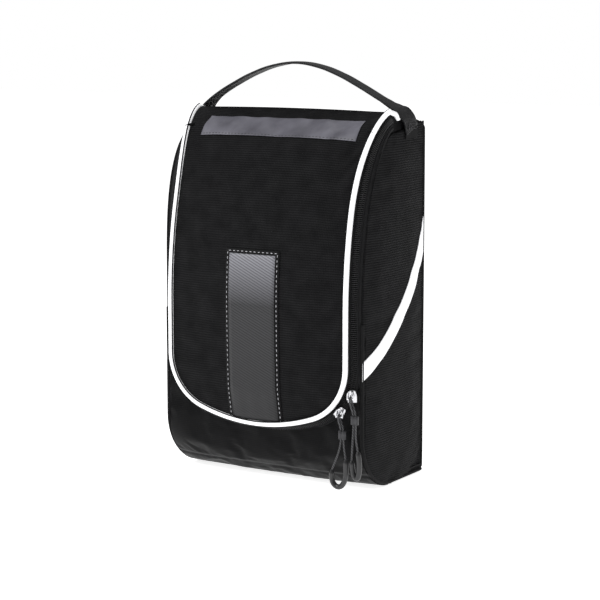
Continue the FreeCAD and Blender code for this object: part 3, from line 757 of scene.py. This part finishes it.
trim = laid_on_flap("trim_strip_satin", 14, 56, -TRIM_HALF, TRIM_HALF, TRIM_TOP,
                    TRIM_FOOT, 0.8)
shaped(trim, "SOLIDIFY", thickness=0.4 * MM, offset=1)
finish_piece(trim, trim_satin, "flap", ["trim_strip"])

# One stitch: a short thread between two needle holes, its ends pulled down.
bpy.ops.mesh.primitive_uv_sphere_add(segments=6, ring_count=4, radius=0.5)
bpy.ops.transform.resize(value=(0.7, 2.5, 0.6))
thread_stitch = pattern_mesh("thread_stitch")

# Polyester sewing thread, light grey against the black tape; and black on black elsewhere.
light_thread, shader = new_material("light_thread", Roughness=0.6)
shader.inputs["Base Color"].default_value = linear("B4B4B8")
dark_thread, shader = new_material("dark_thread", Roughness=0.55)
shader.inputs["Base Color"].default_value = linear("3A3A3D")


def stitch_places(line, pitch):
    """Matrices for stitches along a line of (place, outward) pairs in millimetres."""
    places, wanted, run = [], pitch / 2, 0.0
    for (start, normal), (end, _) in zip(line, line[1:]):
        length = (end - start).length
        while length > 0 and wanted <= run + length:
            along = (end - start).normalized()
            up = (normal - along * normal.dot(along)).normalized()
            turn = Matrix((along.cross(up), along, up)).transposed().to_4x4()
            spot = start + (end - start) * ((wanted - run) / length)
            places.append(Matrix.Translation(spot) @ turn)
            wanted += pitch
        run += length
    return places


TRIM_PITCH, LABEL_PITCH, THREAD_LIFT = 4.2, 3.4, 0.9
seam_x, seam_top = TRIM_HALF + TRIM_BORDER / 2, TRIM_TOP + TRIM_BORDER / 2
rows = []
for side in (-1, 1):
    line = []
    for i in range(41):
        run = run_at(seam_top) + (run_at(TRIM_FOOT) - run_at(seam_top)) * i / 40
        y, z, normal = on_arch(run)
        line.append(above_skin(flap_skin, Vector((side * seam_x, y, z)), normal, THREAD_LIFT))
    rows += stitch_places(line, TRIM_PITCH)
y, z, normal = on_arch(run_at(seam_top))
line = [above_skin(flap_skin, Vector((seam_x * (i / 6 - 1), y, z)), normal, THREAD_LIFT)
        for i in range(13)]
rows += stitch_places(line, TRIM_PITCH)
stitches = repeated("trim_stitches", thread_stitch, rows)
finish_piece(stitches, light_thread, "flap")

line = []
for i in range(61):
    y, z, normal = on_arch(run_at(LABEL_LOW + 1.2))
    x = LABEL_MIDDLE + (LABEL_HALF - 1.5) * (i / 30 - 1)
    line.append(above_skin(flap_skin, Vector((x, y, z)), normal, THREAD_LIFT))
stitches = repeated("label_stitches", thread_stitch, stitch_places(line, LABEL_PITCH))
finish_piece(stitches, dark_thread, "flap")

# ------------------------------------------------------------------ lower front
# Below the zipper the front is one panel of the same cloth. It hangs from the zipper band,
# fills out over its padding and turns under at the toe, where a seam crosses it.

TOE_Y, TOE_RADIUS, SIDE_FRONT, LOWER_HALF = -2.0, 48.0, -50.0, 97.6
BAND_OUT = GUSSET * math.cos(SIDE_LEAN)
TOE_SEAM_Z = 13.0


def band_height(x):
    """The height of the zipper band's outer edge at a distance from the middle."""
    x, radius, sole = abs(x), CORNER + BAND_OUT, SOLE + BAND_OUT * 0.8
    turn_x = CORNER_X + radius * math.cos(CORNER_TURN)
    corner = CORNER_Z - math.sqrt(max(radius**2 - (x - CORNER_X) ** 2, 0))
    if x > turn_x:
        return corner
    sole_low = SOLE_Z - math.sqrt(sole**2 - x**2)
    turn_z = CORNER_Z - math.sqrt(radius**2 - (turn_x - CORNER_X) ** 2)
    blend = (turn_z - (SOLE_Z - math.sqrt(sole**2 - turn_x**2))) * (x / turn_x) ** 2
    return sole_low + blend


def toe_point(fall):
    """The lower front in the side view: straight down, then round under the toe."""
    if fall <= 0:
        return SIDE_FRONT, TOE_RADIUS - fall, Vector((0, -1, 0))
    turn = min(fall / TOE_RADIUS, math.pi / 2)
    normal = Vector((0, -math.cos(turn), -math.sin(turn)))
    return (TOE_Y - TOE_RADIUS * math.cos(turn), TOE_RADIUS * (1 - math.sin(turn)), normal)


def lower_point(u, v, half, inset, crown):
    """A point on the lower front, with its seam drawn in and a soft fold at the left."""
    ratio = math.sin((2 * u - 1) * math.pi / 2)
    x = ratio * half
    start = TOE_RADIUS - band_height(x) - 2.5
    fall = start + (TOE_RADIUS * math.pi / 2 - start) * v
    y, z, normal = toe_point(fall)
    seam = math.exp(-((z - TOE_SEAM_Z) / 1.6) ** 2) if y < -20 else 0
    swell = math.sin(math.pi * min(v / 0.9, 1)) ** 0.7 * (1 - ratio**6)
    fold = math.exp(-((x + 62) / 20) ** 2) * math.sin((z - 14) / 7) * (1 - ratio**6) * 0.9
    fold *= math.sin(math.pi * v)
    spot = Vector((x, y, z)) + normal * (crown * (swell + 0.35 * fold) - 1.3 * seam - inset)
    return spot.x, spot.y, max(spot.z, 0.0), x, fall


lower = lay_sheet("lower_front", 72, 60,
                  lambda u, v: lower_point(u, v, LOWER_HALF, 0.0, 2.6), (0, -1, 0))
belly_out(lower, 2.0, 0.008, 2.0,
          lambda co: co.z < 2.5 or abs(co.z - TOE_SEAM_Z) < 1.2)
shaped(lower, "SUBSURF", levels=1, render_levels=1, boundary_smooth="PRESERVE_CORNERS")
shaped(lower, "SOLIDIFY", thickness=1.2 * MM, offset=-1)
for vertex in lower.data.vertices:
    vertex.co.z = max(vertex.co.z, 0.0)
# Plain-woven polyester with a smoother, glossier coat than the flap's.
smooth_polyester = woven("coated_polyester", "040405", "101011", 1.6, 1.6, 0.1,
                         **{"Roughness": 0.4, "IOR": 1.5, "Specular IOR Level": 0.08})
finish_piece(lower, smooth_polyester, "bag", ["front_lower_panel"])

inside = lay_sheet("lower_front_lining", 40, 30,
                   lambda u, v: lower_point(u, v, LOWER_HALF - 1.6, 2.2, 0.8), (0, 1, 0))
shaped(inside, "SOLIDIFY", thickness=0.5 * MM, offset=-1)
finish_piece(inside, nylon_lining, "bag", ["front_lower_lining"])

# ------------------------------------------------------------------ sides
# Each side is one stiffened panel with a round toe and a tall round shoulder at the front.
# A double black piping follows its toe and foot, and a white band of coated cloth sweeps
# up across it to the back.

SIDE_TOP_FRONT, SIDE_TOP_REAR, REAR_Y = 300.5, 308.5, 57.4
SIDE_X_FRONT, SIDE_X_REAR, FOOT_Z = 99.4, 96.8, 0.8
SHOULDER_DEPTH, SHOULDER_RISE = ARCH_Y - SIDE_FRONT, SIDE_TOP_FRONT - ARCH_Z


def side_edge(share):
    """The side panel's front edge in the side view, from the foot up to the shoulder."""
    toe = TOE_RADIUS * math.pi / 2
    upright = ARCH_Z - TOE_RADIUS - FOOT_Z
    arch = 0.5 * math.pi * math.sqrt((SHOULDER_DEPTH**2 + SHOULDER_RISE**2) / 2)
    run = share * (toe + upright + arch)
    if run < toe:
        turn = run / TOE_RADIUS
        return (TOE_Y - TOE_RADIUS * math.sin(turn),
                FOOT_Z + TOE_RADIUS * (1 - math.cos(turn)))
    if run < toe + upright:
        return SIDE_FRONT, FOOT_Z + TOE_RADIUS + run - toe
    turn = min((run - toe - upright) / arch, 1) * math.pi / 2
    return (ARCH_Y - SHOULDER_DEPTH * math.cos(turn), ARCH_Z + SHOULDER_RISE * math.sin(turn))


def side_x(y):
    """How far out the side panel is: the bag narrows a little towards its back."""
    share = (y - SIDE_FRONT) / (REAR_Y - SIDE_FRONT)
    return SIDE_X_FRONT + (SIDE_X_REAR - SIDE_X_FRONT) * share


def side_point(side, u, v, inset, crown):
    """A point on a side panel, from its front edge back and from its foot up."""
    front_y, front_z = side_edge(v)
    y = front_y + (REAR_Y - front_y) * u
    z = front_z + (SIDE_TOP_REAR - SIDE_TOP_FRONT) * u * v**3
    swell = math.sin(math.pi * u) ** 0.8 * math.sin(math.pi * v) ** 0.6
    x = side * (side_x(y) - inset + crown * swell)
    return *swollen(Vector((x, y, z))), y, z


side_skins = {}
for word, side in SIDES:
    panel = lay_sheet(f"side_{word}", 36, 100,
                      lambda u, v: side_point(side, u, v, 0.0, 1.4), (side, 0, 0))
    belly_out(panel, 2.0, 0.004, 2.0)
    shaped(panel, "SUBSURF", levels=1, render_levels=1, boundary_smooth="PRESERVE_CORNERS")
    side_skins[side] = skin_of(panel)
    shaped(panel, "SOLIDIFY", thickness=1.4 * MM, offset=-1)
    finish_piece(panel, ribbed_polyester, "bag", [f"side_panel_{word}"])
    inside = lay_sheet(f"side_lining_sheet_{word}", 20, 50,
                       lambda u, v: side_point(side, u, v, 3.2, 0.4), (-side, 0, 0))
    shaped(inside, "SOLIDIFY", thickness=0.5 * MM, offset=-1)
    finish_piece(inside, nylon_lining, "bag", [f"side_lining_{word}"])

# Coated white cloth: matt, very faintly woven. Like the piping, it has a painted glow: a faint
# emission that lifts its shaded parts towards flat white.
white_band = woven("white_coated_cloth_painted_glow", "EDEDEF", "FAFAFB", 1.2, 1.2, 0.06,
                   **{"Roughness": 0.5, "Emission Color": linear("F4F4F6"),
                      "Emission Strength": 0.3})


def arc_through(first, middle, last, share):
    """A point on the circle through three points, at a share of the way along it."""
    ax, ay, bx, by, cx, cy = *first, *middle, *last
    d = 2 * (ax * (by - cy) + bx * (cy - ay) + cx * (ay - by))
    a, b, c = ax**2 + ay**2, bx**2 + by**2, cx**2 + cy**2
    centre = Vector(((a * (by - cy) + b * (cy - ay) + c * (ay - by)) / d,
                     (a * (cx - bx) + b * (ax - cx) + c * (bx - ax)) / d))
    start, end = Vector(first) - centre, Vector(last) - centre
    turn = math.atan2(start.x * end.y - start.y * end.x, start.dot(end))
    return centre + Matrix.Rotation(turn * share, 2) @ start


LOW_LINE = ((-50.5, 97.2), (-3.0, 126.0), (56.5, 195.0))
HIGH_LINE = ((-50.5, 112.5), (-3.0, 143.5), (56.5, 226.0))
for word, side in SIDES:

    def stripe_point(u, v):
        """A point on the band, dropped onto the side panel that it is sewn to."""
        low, high = arc_through(*LOW_LINE, v), arc_through(*HIGH_LINE, v)
        spot = low.lerp(high, u)
        out = swollen(Vector((side * (side_x(spot.x) + 4), spot.x, spot.y)))
        found, on_side, _, _ = side_skins[side].ray_cast(out * MM, (-side, 0, 0))
        x = on_side.x / MM + side * 0.25 if found else out.x - side * 4
        return x, spot.x, spot.y, spot.x, spot.y

    stripe = lay_sheet(f"white_band_{word}", 10, 60, stripe_point, (side, 0, 0))
    shaped(stripe, "SOLIDIFY", thickness=0.5 * MM, offset=1)
    finish_piece(stripe, white_band, "bag", [f"side_stripe_{word}"])

    piping_line, seam_line = [], []
    for i in range(61):
        y, z = side_edge(0.48 * i / 60)
        toward = Vector((0, TOE_Y - y, FOOT_Z + TOE_RADIUS - z)).normalized()
        if z > TOE_RADIUS:
            toward = Vector((0, 1, 0))
        spot = Vector((side * (side_x(y) - 0.6), y, z + 1.2))
        piping_line.append(spot + toward * 0.6)
        seam_line.append(spot + toward * 5.0 + Vector((side * 1.0, 0, 0)))
    for i in range(1, 13):
        y = TOE_Y + (REAR_Y - TOE_Y) * i / 12
        piping_line.insert(0, Vector((side * (side_x(y) - 0.6), y, FOOT_Z + 1.3)))
        seam_line.insert(0, Vector((side * (side_x(y) + 0.4), y, FOOT_Z + 6.2)))
    cord = round_cord(f"black_piping_{word}", piping_line, 3.2, 3, 3)
    finish_piece(cord, black_tape, "bag", [f"side_piping_{word}"])
    seam = round_cord(f"black_piping_seam_{word}", seam_line, 1.2, 2, 3)
    finish_piece(seam, black_tape, "bag")

# ------------------------------------------------------------------ top and back
# Behind the hinge seam one panel covers the top and rolls down to the side seams. The back
# is a flat stiffened panel, and a black piping runs round it.

TOP_HALF, ROLL = 96.6, 6.0


def top_height(y):
    """The middle line of the top panel, from the hinge seam to the back edge."""
    share = (y - HINGE_Y) / (58.0 - HINGE_Y)
    return 318.6 - 5.5 * share - 7.0 * share**4


def top_point(u, v):
    """A point on the top panel, which rolls over both shoulders to the side seams."""
    y = HINGE_Y + 0.4 + (57.6 - HINGE_Y) * v
    top = top_height(y) - 0.4
    seam = 300.5 + (y - ARCH_Y) / (REAR_Y - ARCH_Y) * 8.0 if y > ARCH_Y else 300.5
    seam = min(seam, top - 1.0)
    roll = min(ROLL, top - seam)
    flat = TOP_HALF - roll
    bend, drop = roll * math.pi / 2, top - seam - roll
    run = abs(2 * u - 1) * (flat + bend + drop)
    side = 1 if u > 0.5 else -1
    if run <= flat:
        x, z = run, top + 1.2 * (1 - (run / flat) ** 2)
    elif run <= flat + bend:
        turn = (run - flat) / roll
        x, z = flat + roll * math.sin(turn), top - roll * (1 - math.cos(turn))
    else:
        x, z = TOP_HALF + 0.4 * (run - flat - bend) / 10, top - roll - (run - flat - bend)
    outer = min(max((run - flat * 0.9) / (flat * 0.1 + bend), 0), 1)
    return *swollen(Vector((side * x, y, z)), outer), side * run, y


top = lay_sheet("top_cover", 110, 30, top_point, (0, 0, 1))
shaped(top, "SOLIDIFY", thickness=1.2 * MM, offset=-1)
finish_piece(top, ribbed_polyester, "bag",
             ["top_rear_panel", "shoulder_left", "shoulder_right"])

BACK_Y, BACK_HALF, BACK_TOP = 57.6, 96.2, 306.0


def back_point(u, v, inset, crown):
    """A point on the back panel, which bows out a little in its middle."""
    x = (2 * u - 1) * (BACK_HALF - inset)
    z = 1.4 + inset + (BACK_TOP - 1.4 - 2 * inset) * v
    swell = (math.sin(math.pi * u) * math.sin(math.pi * v)) ** 0.7
    return x, BACK_Y + crown * swell - inset, z, x, z


back = lay_sheet("back_cover", 60, 90, lambda u, v: back_point(u, v, 0.0, 1.6), (0, 1, 0))
belly_out(back, 2.0, 0.004, 2.5)
shaped(back, "SOLIDIFY", thickness=1.2 * MM, offset=-1)
finish_piece(back, ribbed_polyester, "bag", ["back_panel"])

BACK_CORNER = 5.0
loop = []
for cx, cz, start in ((BACK_HALF, BACK_TOP, 0), (-BACK_HALF, BACK_TOP, 1),
                      (-BACK_HALF, 1.8, 2), (BACK_HALF, 1.8, 3)):
    sx, sz = math.copysign(1, cx), 1 if cz > 100 else -1
    for i in range(5):
        turn = (start + i / 4) * math.pi / 2
        loop.append((cx - sx * BACK_CORNER + BACK_CORNER * math.cos(turn), BACK_Y + 0.2,
                     cz - sz * BACK_CORNER + BACK_CORNER * math.sin(turn)))
back_piping = round_cord("back_piping", loop, 3.2, 3, 6, closed=True)
finish_piece(back_piping, black_tape, "bag")

# ------------------------------------------------------------------ base and linings
# The bag stands on a flat panel of dense black cloth over a plastic board, and the inside is
# lined with thin nylon.


def soft_block(name, node, bevel):
    """A flat block that fills a node's box, its edges rounded by a bevel in millimetres."""
    low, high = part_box(node)
    bpy.ops.mesh.primitive_cube_add(size=1, location=(low + high) / 2)
    block = bpy.context.object
    block.name = block.data.name = name
    block.scale = high - low
    bpy.ops.object.transform_apply(location=True, rotation=True, scale=True)
    bpy.ops.object.mode_set(mode="EDIT")
    bpy.ops.mesh.select_all(action="SELECT")
    bpy.ops.mesh.bevel(offset=bevel * MM, segments=2, affect="EDGES")
    bpy.ops.object.mode_set(mode="OBJECT")
    return block


base = soft_block("base_cover", "base_panel", 0.5)
base.data.shade_smooth()
finish_piece(base, black_tape, "bag", ["base_panel"])

lining_low, lining_high = (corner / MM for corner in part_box("base_lining"))


def base_lining_point(u, v):
    """A point on the lining over the base, with slight ripples."""
    x = lining_low.x + (lining_high.x - lining_low.x) * u
    y = lining_low.y + (lining_high.y - lining_low.y) * v
    return x, y, lining_high.z - 0.3 + 0.3 * math.sin(9 * u) * math.sin(7 * v), x, y


inside = lay_sheet("base_lining_sheet", 40, 14, base_lining_point, (0, 0, 1))
shaped(inside, "SOLIDIFY", thickness=0.5 * MM, offset=-1)
finish_piece(inside, nylon_lining, "bag", ["base_lining"])

inside = lay_sheet("back_lining_sheet", 40, 60, lambda u, v: back_point(u, v, 4.6, -0.4),
                   (0, -1, 0))
shaped(inside, "SOLIDIFY", thickness=0.5 * MM, offset=-1)
finish_piece(inside, nylon_lining, "bag", ["back_lining"])

# Extruded polyethylene board: flat and matt, faintly mottled.
poly_board = mottled("poly_board", "303032", "444447", 12, 3.0, Roughness=0.5)
for node in ("base_board", "back_board"):
    for material_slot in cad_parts[node].material_slots:
        material_slot.material = poly_board

# ------------------------------------------------------------------ handle
# A carry handle of flat woven nylon webbing. It stands up from the top, curves back at both
# ends and is sewn flat to the side seams with a box of stitching.

STRAP_WIDE, STRAP_END, STRAP_THICK = 15.0, 20.0, 1.8
STRAP_TOP = (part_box("handle_strap")[1] / MM).z - 0.4
STRAP_RUN = 290
# Each place on the strap: across the bag, back, and down from the strap's top.
RIGHT_STRAP = [
    (0.0, 8.0, 0.0), (22.0, 8.0, 2.6), (44.0, 8.0, 9.6), (62.0, 8.0, 17.8),
    (80.0, 8.5, 27.2), (91.0, 11.5, 34.2), (97.6, 17.5, 40.4), (100.6, 25.0, 47.0),
    (101.2, 30.0, 57.0),
]
LEFT_STRAP = [
    (-22.0, 8.0, 2.6), (-44.0, 8.0, 9.6), (-62.0, 8.0, 17.8), (-80.0, 8.0, 27.6),
    (-92.0, 10.5, 35.2), (-101.0, 14.5, 42.5), (-106.4, 19.0, 49.5), (-107.4, 22.0, 58.0),
]


def strap_line():
    """The strap's middle line from end to end, as a smooth curve through its places."""
    knots = [Vector((x, y, STRAP_TOP - drop))
             for x, y, drop in LEFT_STRAP[::-1] + RIGHT_STRAP]
    bpy.ops.curve.primitive_bezier_curve_add()
    guide = bpy.context.object
    guide.data.splines.clear()
    spline = guide.data.splines.new("BEZIER")
    spline.bezier_points.add(len(knots) - 1)
    for knot, place in zip(spline.bezier_points, knots):
        knot.co = place
        knot.handle_left_type = knot.handle_right_type = "AUTO"
    spline.resolution_u = 10
    mesh = bpy.data.meshes.new_from_object(guide)
    line = [v.co.copy() for v in mesh.vertices]
    bpy.data.objects.remove(guide)
    return line


STRAP = strap_line()


def strap_point(u, v):
    """A point on the strap, which is cupped a little and widens towards its sewn ends."""
    i = round(v * (len(STRAP) - 1))
    spot = STRAP[i]
    ahead, behind = STRAP[min(i + 1, len(STRAP) - 1)], STRAP[max(i - 1, 0)]
    along = (ahead - behind).normalized()
    end = min(max((abs(spot.x) - 84) / 17, 0), 1)
    wide = STRAP_WIDE + (STRAP_END - STRAP_WIDE) * end
    across = Vector((0, 1, 0))
    across = (across - along * across.dot(along)).normalized()
    cup = 0.4 * (2 * u - 1) ** 2
    up = along.cross(across)
    spot = spot + across * wide * (u - 0.5) - up * cup * (1 if up.z > 0 else -1)
    return spot.x, spot.y, spot.z, wide * (u - 0.5), v * STRAP_RUN


# Woven nylon webbing: a close rib across the strap, tight selvedges, a low sheen. Its rib
# tops are painted lighter and its grooves darker, as painted highlight and painted shade.
webbing = woven("nylon_webbing", "080809", "232325", 1.8, 2.4, 0.3,
                **{"Roughness": 0.5, "Specular IOR Level": 0.2})
strap = lay_sheet("webbing_handle", 8, len(STRAP) - 1, strap_point, (0, 0, 1))
shaped(strap, "SOLIDIFY", thickness=STRAP_THICK * MM, offset=-1)
shaped(strap, "BEVEL", width=0.5 * MM, segments=2, limit_method="ANGLE")
finish_piece(strap, webbing, None, ["handle_strap"])
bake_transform(strap)

for word, _ in SIDES:
    tab = soft_block(f"webbing_tab_{word}", f"handle_tab_{word}", 0.15)
    finish_piece(tab, black_tape, "bag", [f"handle_tab_{word}"])

# Each sewn end is held by a box of stitches with a cross in it.
for word, side in SIDES:
    end = STRAP[-1] if side > 0 else STRAP[0]
    x, outward = end.x + side * (STRAP_THICK + 0.15), Vector((side, 0, 0))
    x -= side * STRAP_THICK
    near, far, low_z, high_z = end.y - 7.0, end.y + 7.0, end.z + 1.2, end.z + 5.5
    corners = [(near, low_z), (far, low_z), (far, high_z), (near, high_z), (near, low_z),
               (far, high_z)]
    places = []
    for first, second in zip(corners, corners[1:]):
        places += stitch_places([(Vector((x, *first)), outward),
                                 (Vector((x, *second)), outward)], 2.6)
    stitches = repeated(f"handle_stitches_{word}", thread_stitch, places)
    finish_piece(stitches, dark_thread, "bag")

# ------------------------------------------------------------------ sliders
# Die-cast zinc sliders, plated bright nickel. Each has a wing plate with raised edges, a
# crown over its middle and a small shackle whose cross pin carries the pull's cord.

# Nickel plate, tumbled bright: mirror-like, with the casting's faint waviness under it.
bright_nickel = mottled("bright_nickel", "A8A9AC", "E2E2E5", 2.5, 2.0, 0.12, 0.2,
                        Metallic=1.0, Roughness=0.14)


def slider_body():
    """The plate and crown: X across the zipper, Y out of it, Z along it, in millimetres."""
    bpy.ops.mesh.primitive_cube_add(size=1)
    plate = bpy.context.object
    plate.scale = (7.6, 1.5, 10.4)
    bpy.ops.object.transform_apply(scale=True)
    bpy.ops.object.mode_set(mode="EDIT")
    bpy.ops.mesh.select_all(action="SELECT")
    bpy.ops.mesh.subdivide(number_cuts=3)
    bpy.ops.object.mode_set(mode="OBJECT")
    for vertex in plate.data.vertices:
        nose = max(vertex.co.z / 5.2, 0)
        vertex.co.x *= 1 - 0.42 * nose**2
        vertex.co.y += 0.5 * (1 - (vertex.co.x / 3.8) ** 2)
    shaped(plate, "BEVEL", width=0.35, segments=2, limit_method="ANGLE")
    shaped(plate, "SUBSURF", levels=1, render_levels=1)
    crown = round_cord("slider_crown", [
        (0, 0.6, 4.0), (0, 2.6, 3.8), (0, 3.6, 1.6), (0, 3.4, -1.4), (0, 2.2, -3.4),
        (0, 0.6, -3.6)], 2.0, 3, 6)
    crown.data.transform(Matrix.Scale(1 / MM, 4))
    return joined(plate, crown)


def shackle(eye, pin):
    """A C-shaped shackle round the eye, with a pin between its two feet."""
    x, y, z = eye
    hoop = [(x - 2.9, y, pin - 0.6), (x - 3.2, y, z + 0.8), (x - 2.6, y, z + 3.6),
            (x, y, z + 4.6), (x + 2.6, y, z + 3.6), (x + 3.2, y, z + 0.8),
            (x + 2.9, y, pin - 0.6)]
    wire = round_cord("shackle_hoop", hoop, 1.4, 3, 6)
    bar = round_cord("shackle_pin", [(x - 3.6, y, pin), (x, y, pin), (x + 3.6, y, pin)],
                     1.1, 3, 2)
    return joined(wire, bar)


FACING, EYE_OUT = math.radians(32), 3.7
UPPER_PLACE, UPPER_EYE = Vector((94.1, -57.2, 85.5)), Vector((94.9, -61.4, 85.5))
low_turn = math.radians(-41.5)
low_out = Vector((math.cos(low_turn), 0, math.sin(low_turn)))
low_along = Vector((-math.sin(low_turn), 0, math.cos(low_turn)))
LOWER_PLACE = Vector((CORNER_X, -57.0, CORNER_Z)) + low_out * 56
low_facing = low_out * math.sin(FACING) + Vector((0, -math.cos(FACING), 0))
LOWER_EYE = LOWER_PLACE + low_facing * EYE_OUT + Vector((0, -1.2, 0))
PIN_DROP = 2.0

for word, body, place, along, facing, eye in (
    ("upper", "slider_up", UPPER_PLACE, Vector((0, 0, 1)),
     Vector((math.sin(FACING), -math.cos(FACING), 0)), UPPER_EYE),
    ("lower", "slider_low", LOWER_PLACE, low_along, low_facing, LOWER_EYE),
):
    plate = slider_body()
    across = facing.cross(along)
    turn = Matrix((across, facing, along)).transposed().to_4x4()
    plate.data.transform(Matrix.Scale(MM, 4) @ Matrix.Translation(place) @ turn)
    plate.name = plate.data.name = f"{word}_slider_plate"
    plate.data.shade_smooth()
    finish_piece(plate, bright_nickel, body, [f"slider_{word}"])
    hoop = shackle(eye, eye.z - PIN_DROP)
    hoop.name = hoop.data.name = f"{word}_slider_shackle"
    finish_piece(hoop, bright_nickel, body)

# ------------------------------------------------------------------ pulls
# Each pull is a doubled black cord looped over the shackle's pin. It runs through a moulded
# twin-barrel sleeve and ends in a bent, moulded rubber grip that both cord ends enter.

CORD, GRIP, LEGS, TAPER = 1.6, 4.6, 2.2, 2.0
BARREL_RADIUS, BARREL_LONG = 1.9, 7.6

# Braided nylon cord: tiny diagonal plaits, a dull sheen. The raised bands of the plaits are
# painted lighter than the furrows, from the same texture as the bump: painted sheen and shade.
braided_cord, shader = new_material("braided_cord", Roughness=0.55)
plait = add_node(braided_cord, "TexWave", {"bands_direction": "DIAGONAL"}, {
    "Vector": add_node(braided_cord, "TexCoord").outputs["Object"],
    "Scale": 1 / (4 * MM), "Distortion": 2.0})
tint = add_node(braided_cord, "ValToRGB", None, {0: plait.outputs[0]})
tint.color_ramp.elements[0].color = linear("161617")
tint.color_ramp.elements[1].color = linear("4A4A4D")
bump = add_node(braided_cord, "Bump", None,
                {"Height": plait.outputs[0], "Strength": 0.6, "Distance": 0.2 * MM})
braided_cord.node_tree.links.new(tint.outputs[0], shader.inputs["Base Color"])
braided_cord.node_tree.links.new(bump.outputs[0], shader.inputs["Normal"])

# Moulded thermoplastic rubber: black, smooth, a clear gloss along its top.
moulded_rubber = mottled("moulded_rubber", "141415", "222224", 1.2, 3.0, 0.08, 0.1,
                         Roughness=0.28, IOR=1.52)
# Twin-barrel sleeve: moulded plastic with a satin, faintly metallic finish.
satin_sleeve = mottled("satin_sleeve", "1C1C1E", "3E3E41", 3, 3.0, Metallic=0.4, Roughness=0.3)


def pull_route(eye, plane, ferrule_at, left_end, left_bend, right_bend, right_end):
    """The cord's route from the grip up through the sleeve, over the pin and down again."""
    pin, x, y = eye.z - PIN_DROP, eye.x, eye.y
    foot, head = ferrule_at[1] - 1.2, ferrule_at[1] + 8.8
    left, right = ferrule_at[0] - LEGS / 2, ferrule_at[0] + LEGS / 2
    return [
        (left_end[0], plane, left_end[1]), (left_bend[0], plane, left_bend[1]),
        (left, plane, foot), (left, plane, head),
        (x - 0.2, y - 1.6, pin - 2.4), (x, y - 1.7, pin + 1.9), (x, y + 1.7, pin + 1.9),
        (x + 0.2, y + 1.6, pin - 2.4),
        (right, plane, head), (right, plane, foot),
        (right_bend[0], plane, right_bend[1]), (right_end[0], plane, right_end[1]),
    ]


# For each pull: its body, the eye it hangs from, the plane it hangs in, the middle of its
# sleeve's foot, the cord's two ends and bends, and the grip's middle line.
PULLS = {
    "upper": ("pull_up", UPPER_EYE, -60.7, (98.4, 62.4), (95.6, 31.6), (96.4, 46.0),
              (99.3, 50.0), (101.6, 39.8),
              [(95.6, 31.6), (96.4, 24.0), (98.6, 17.6), (101.8, 17.0), (103.2, 24.0),
               (103.0, 32.5), (101.6, 39.8)]),
    "lower": ("pull_low", LOWER_EYE, (LOWER_PLACE + low_facing * EYE_OUT).y, (86.2, 48.6),
              (76.0, 21.4), (82.6, 36.0), (88.0, 40.6), (89.6, 31.6),
              [(76.0, 21.4), (75.6, 13.4), (79.4, 7.8), (85.0, 7.6), (89.0, 13.6),
               (90.3, 22.5), (89.6, 31.6)]),
}
for word, (body, eye, plane, ferrule_at, *ends, grip_route) in PULLS.items():
    route = pull_route(eye, plane, ferrule_at, *ends)
    cord = smooth_path(f"{word}_cord", route, 12)
    plain = bpy.data.meshes.new_from_object(cord)
    thickened(cord, CORD, 4)
    finish_piece(cord, braided_cord, body, [f"{word}_pull_cord"])

    grip = round_cord(f"{word}_grip", [(x, plane, z) for x, z in grip_route], GRIP, 5, 12)
    for vertex in grip.data.vertices:
        for (x, z), (near_x, near_z) in ((grip_route[0], grip_route[1]),
                                         (grip_route[-1], grip_route[-2])):
            end = Vector((x, plane, z)) * MM
            inward = (Vector((near_x, plane, near_z)) * MM - end).normalized()
            depth = (vertex.co - end).dot(inward)
            near = (vertex.co - end).length < GRIP * MM
            if near and depth < TAPER * MM:
                axis = end + inward * depth
                taper = 0.62 + 0.38 * max(depth, 0) / (TAPER * MM)
                vertex.co = axis + (vertex.co - axis) * taper
    finish_piece(grip, moulded_rubber, body, [f"{word}_pull_grip"])

    barrels, middle_z = [], ferrule_at[1] + BARREL_LONG / 2
    for side in (-1, 1):
        x = ferrule_at[0] + side * LEGS * 0.78
        bpy.ops.mesh.primitive_cylinder_add(
            vertices=20, radius=BARREL_RADIUS * MM, depth=BARREL_LONG * MM,
            location=(x * MM, plane * MM, middle_z * MM))
        bpy.ops.object.transform_apply(location=True)
        barrel = bpy.context.object
        shaped(barrel, "BEVEL", width=0.5 * MM, segments=3, limit_method="ANGLE")
        barrels.append(barrel)
    bpy.ops.mesh.primitive_cube_add(
        size=1, location=(ferrule_at[0] * MM, plane * MM, middle_z * MM))
    web = bpy.context.object
    web.scale = (3.0 * MM, 3.0 * MM, 6.4 * MM)
    bpy.ops.object.transform_apply(location=True, scale=True)
    shaped(web, "BEVEL", width=0.4 * MM, segments=2)
    joined(web, *barrels)
    web.name = web.data.name = f"{word}_sleeve"
    web.select_set(True)
    bpy.ops.object.shade_smooth_by_angle(angle=math.radians(40))
    bpy.ops.object.select_all(action="DESELECT")
    finish_piece(web, satin_sleeve, body, [f"{word}_pull_ferrule"])

# ------------------------------------------------------------------ guides removed
for guide in guides:
    bpy.data.objects.remove(guide)
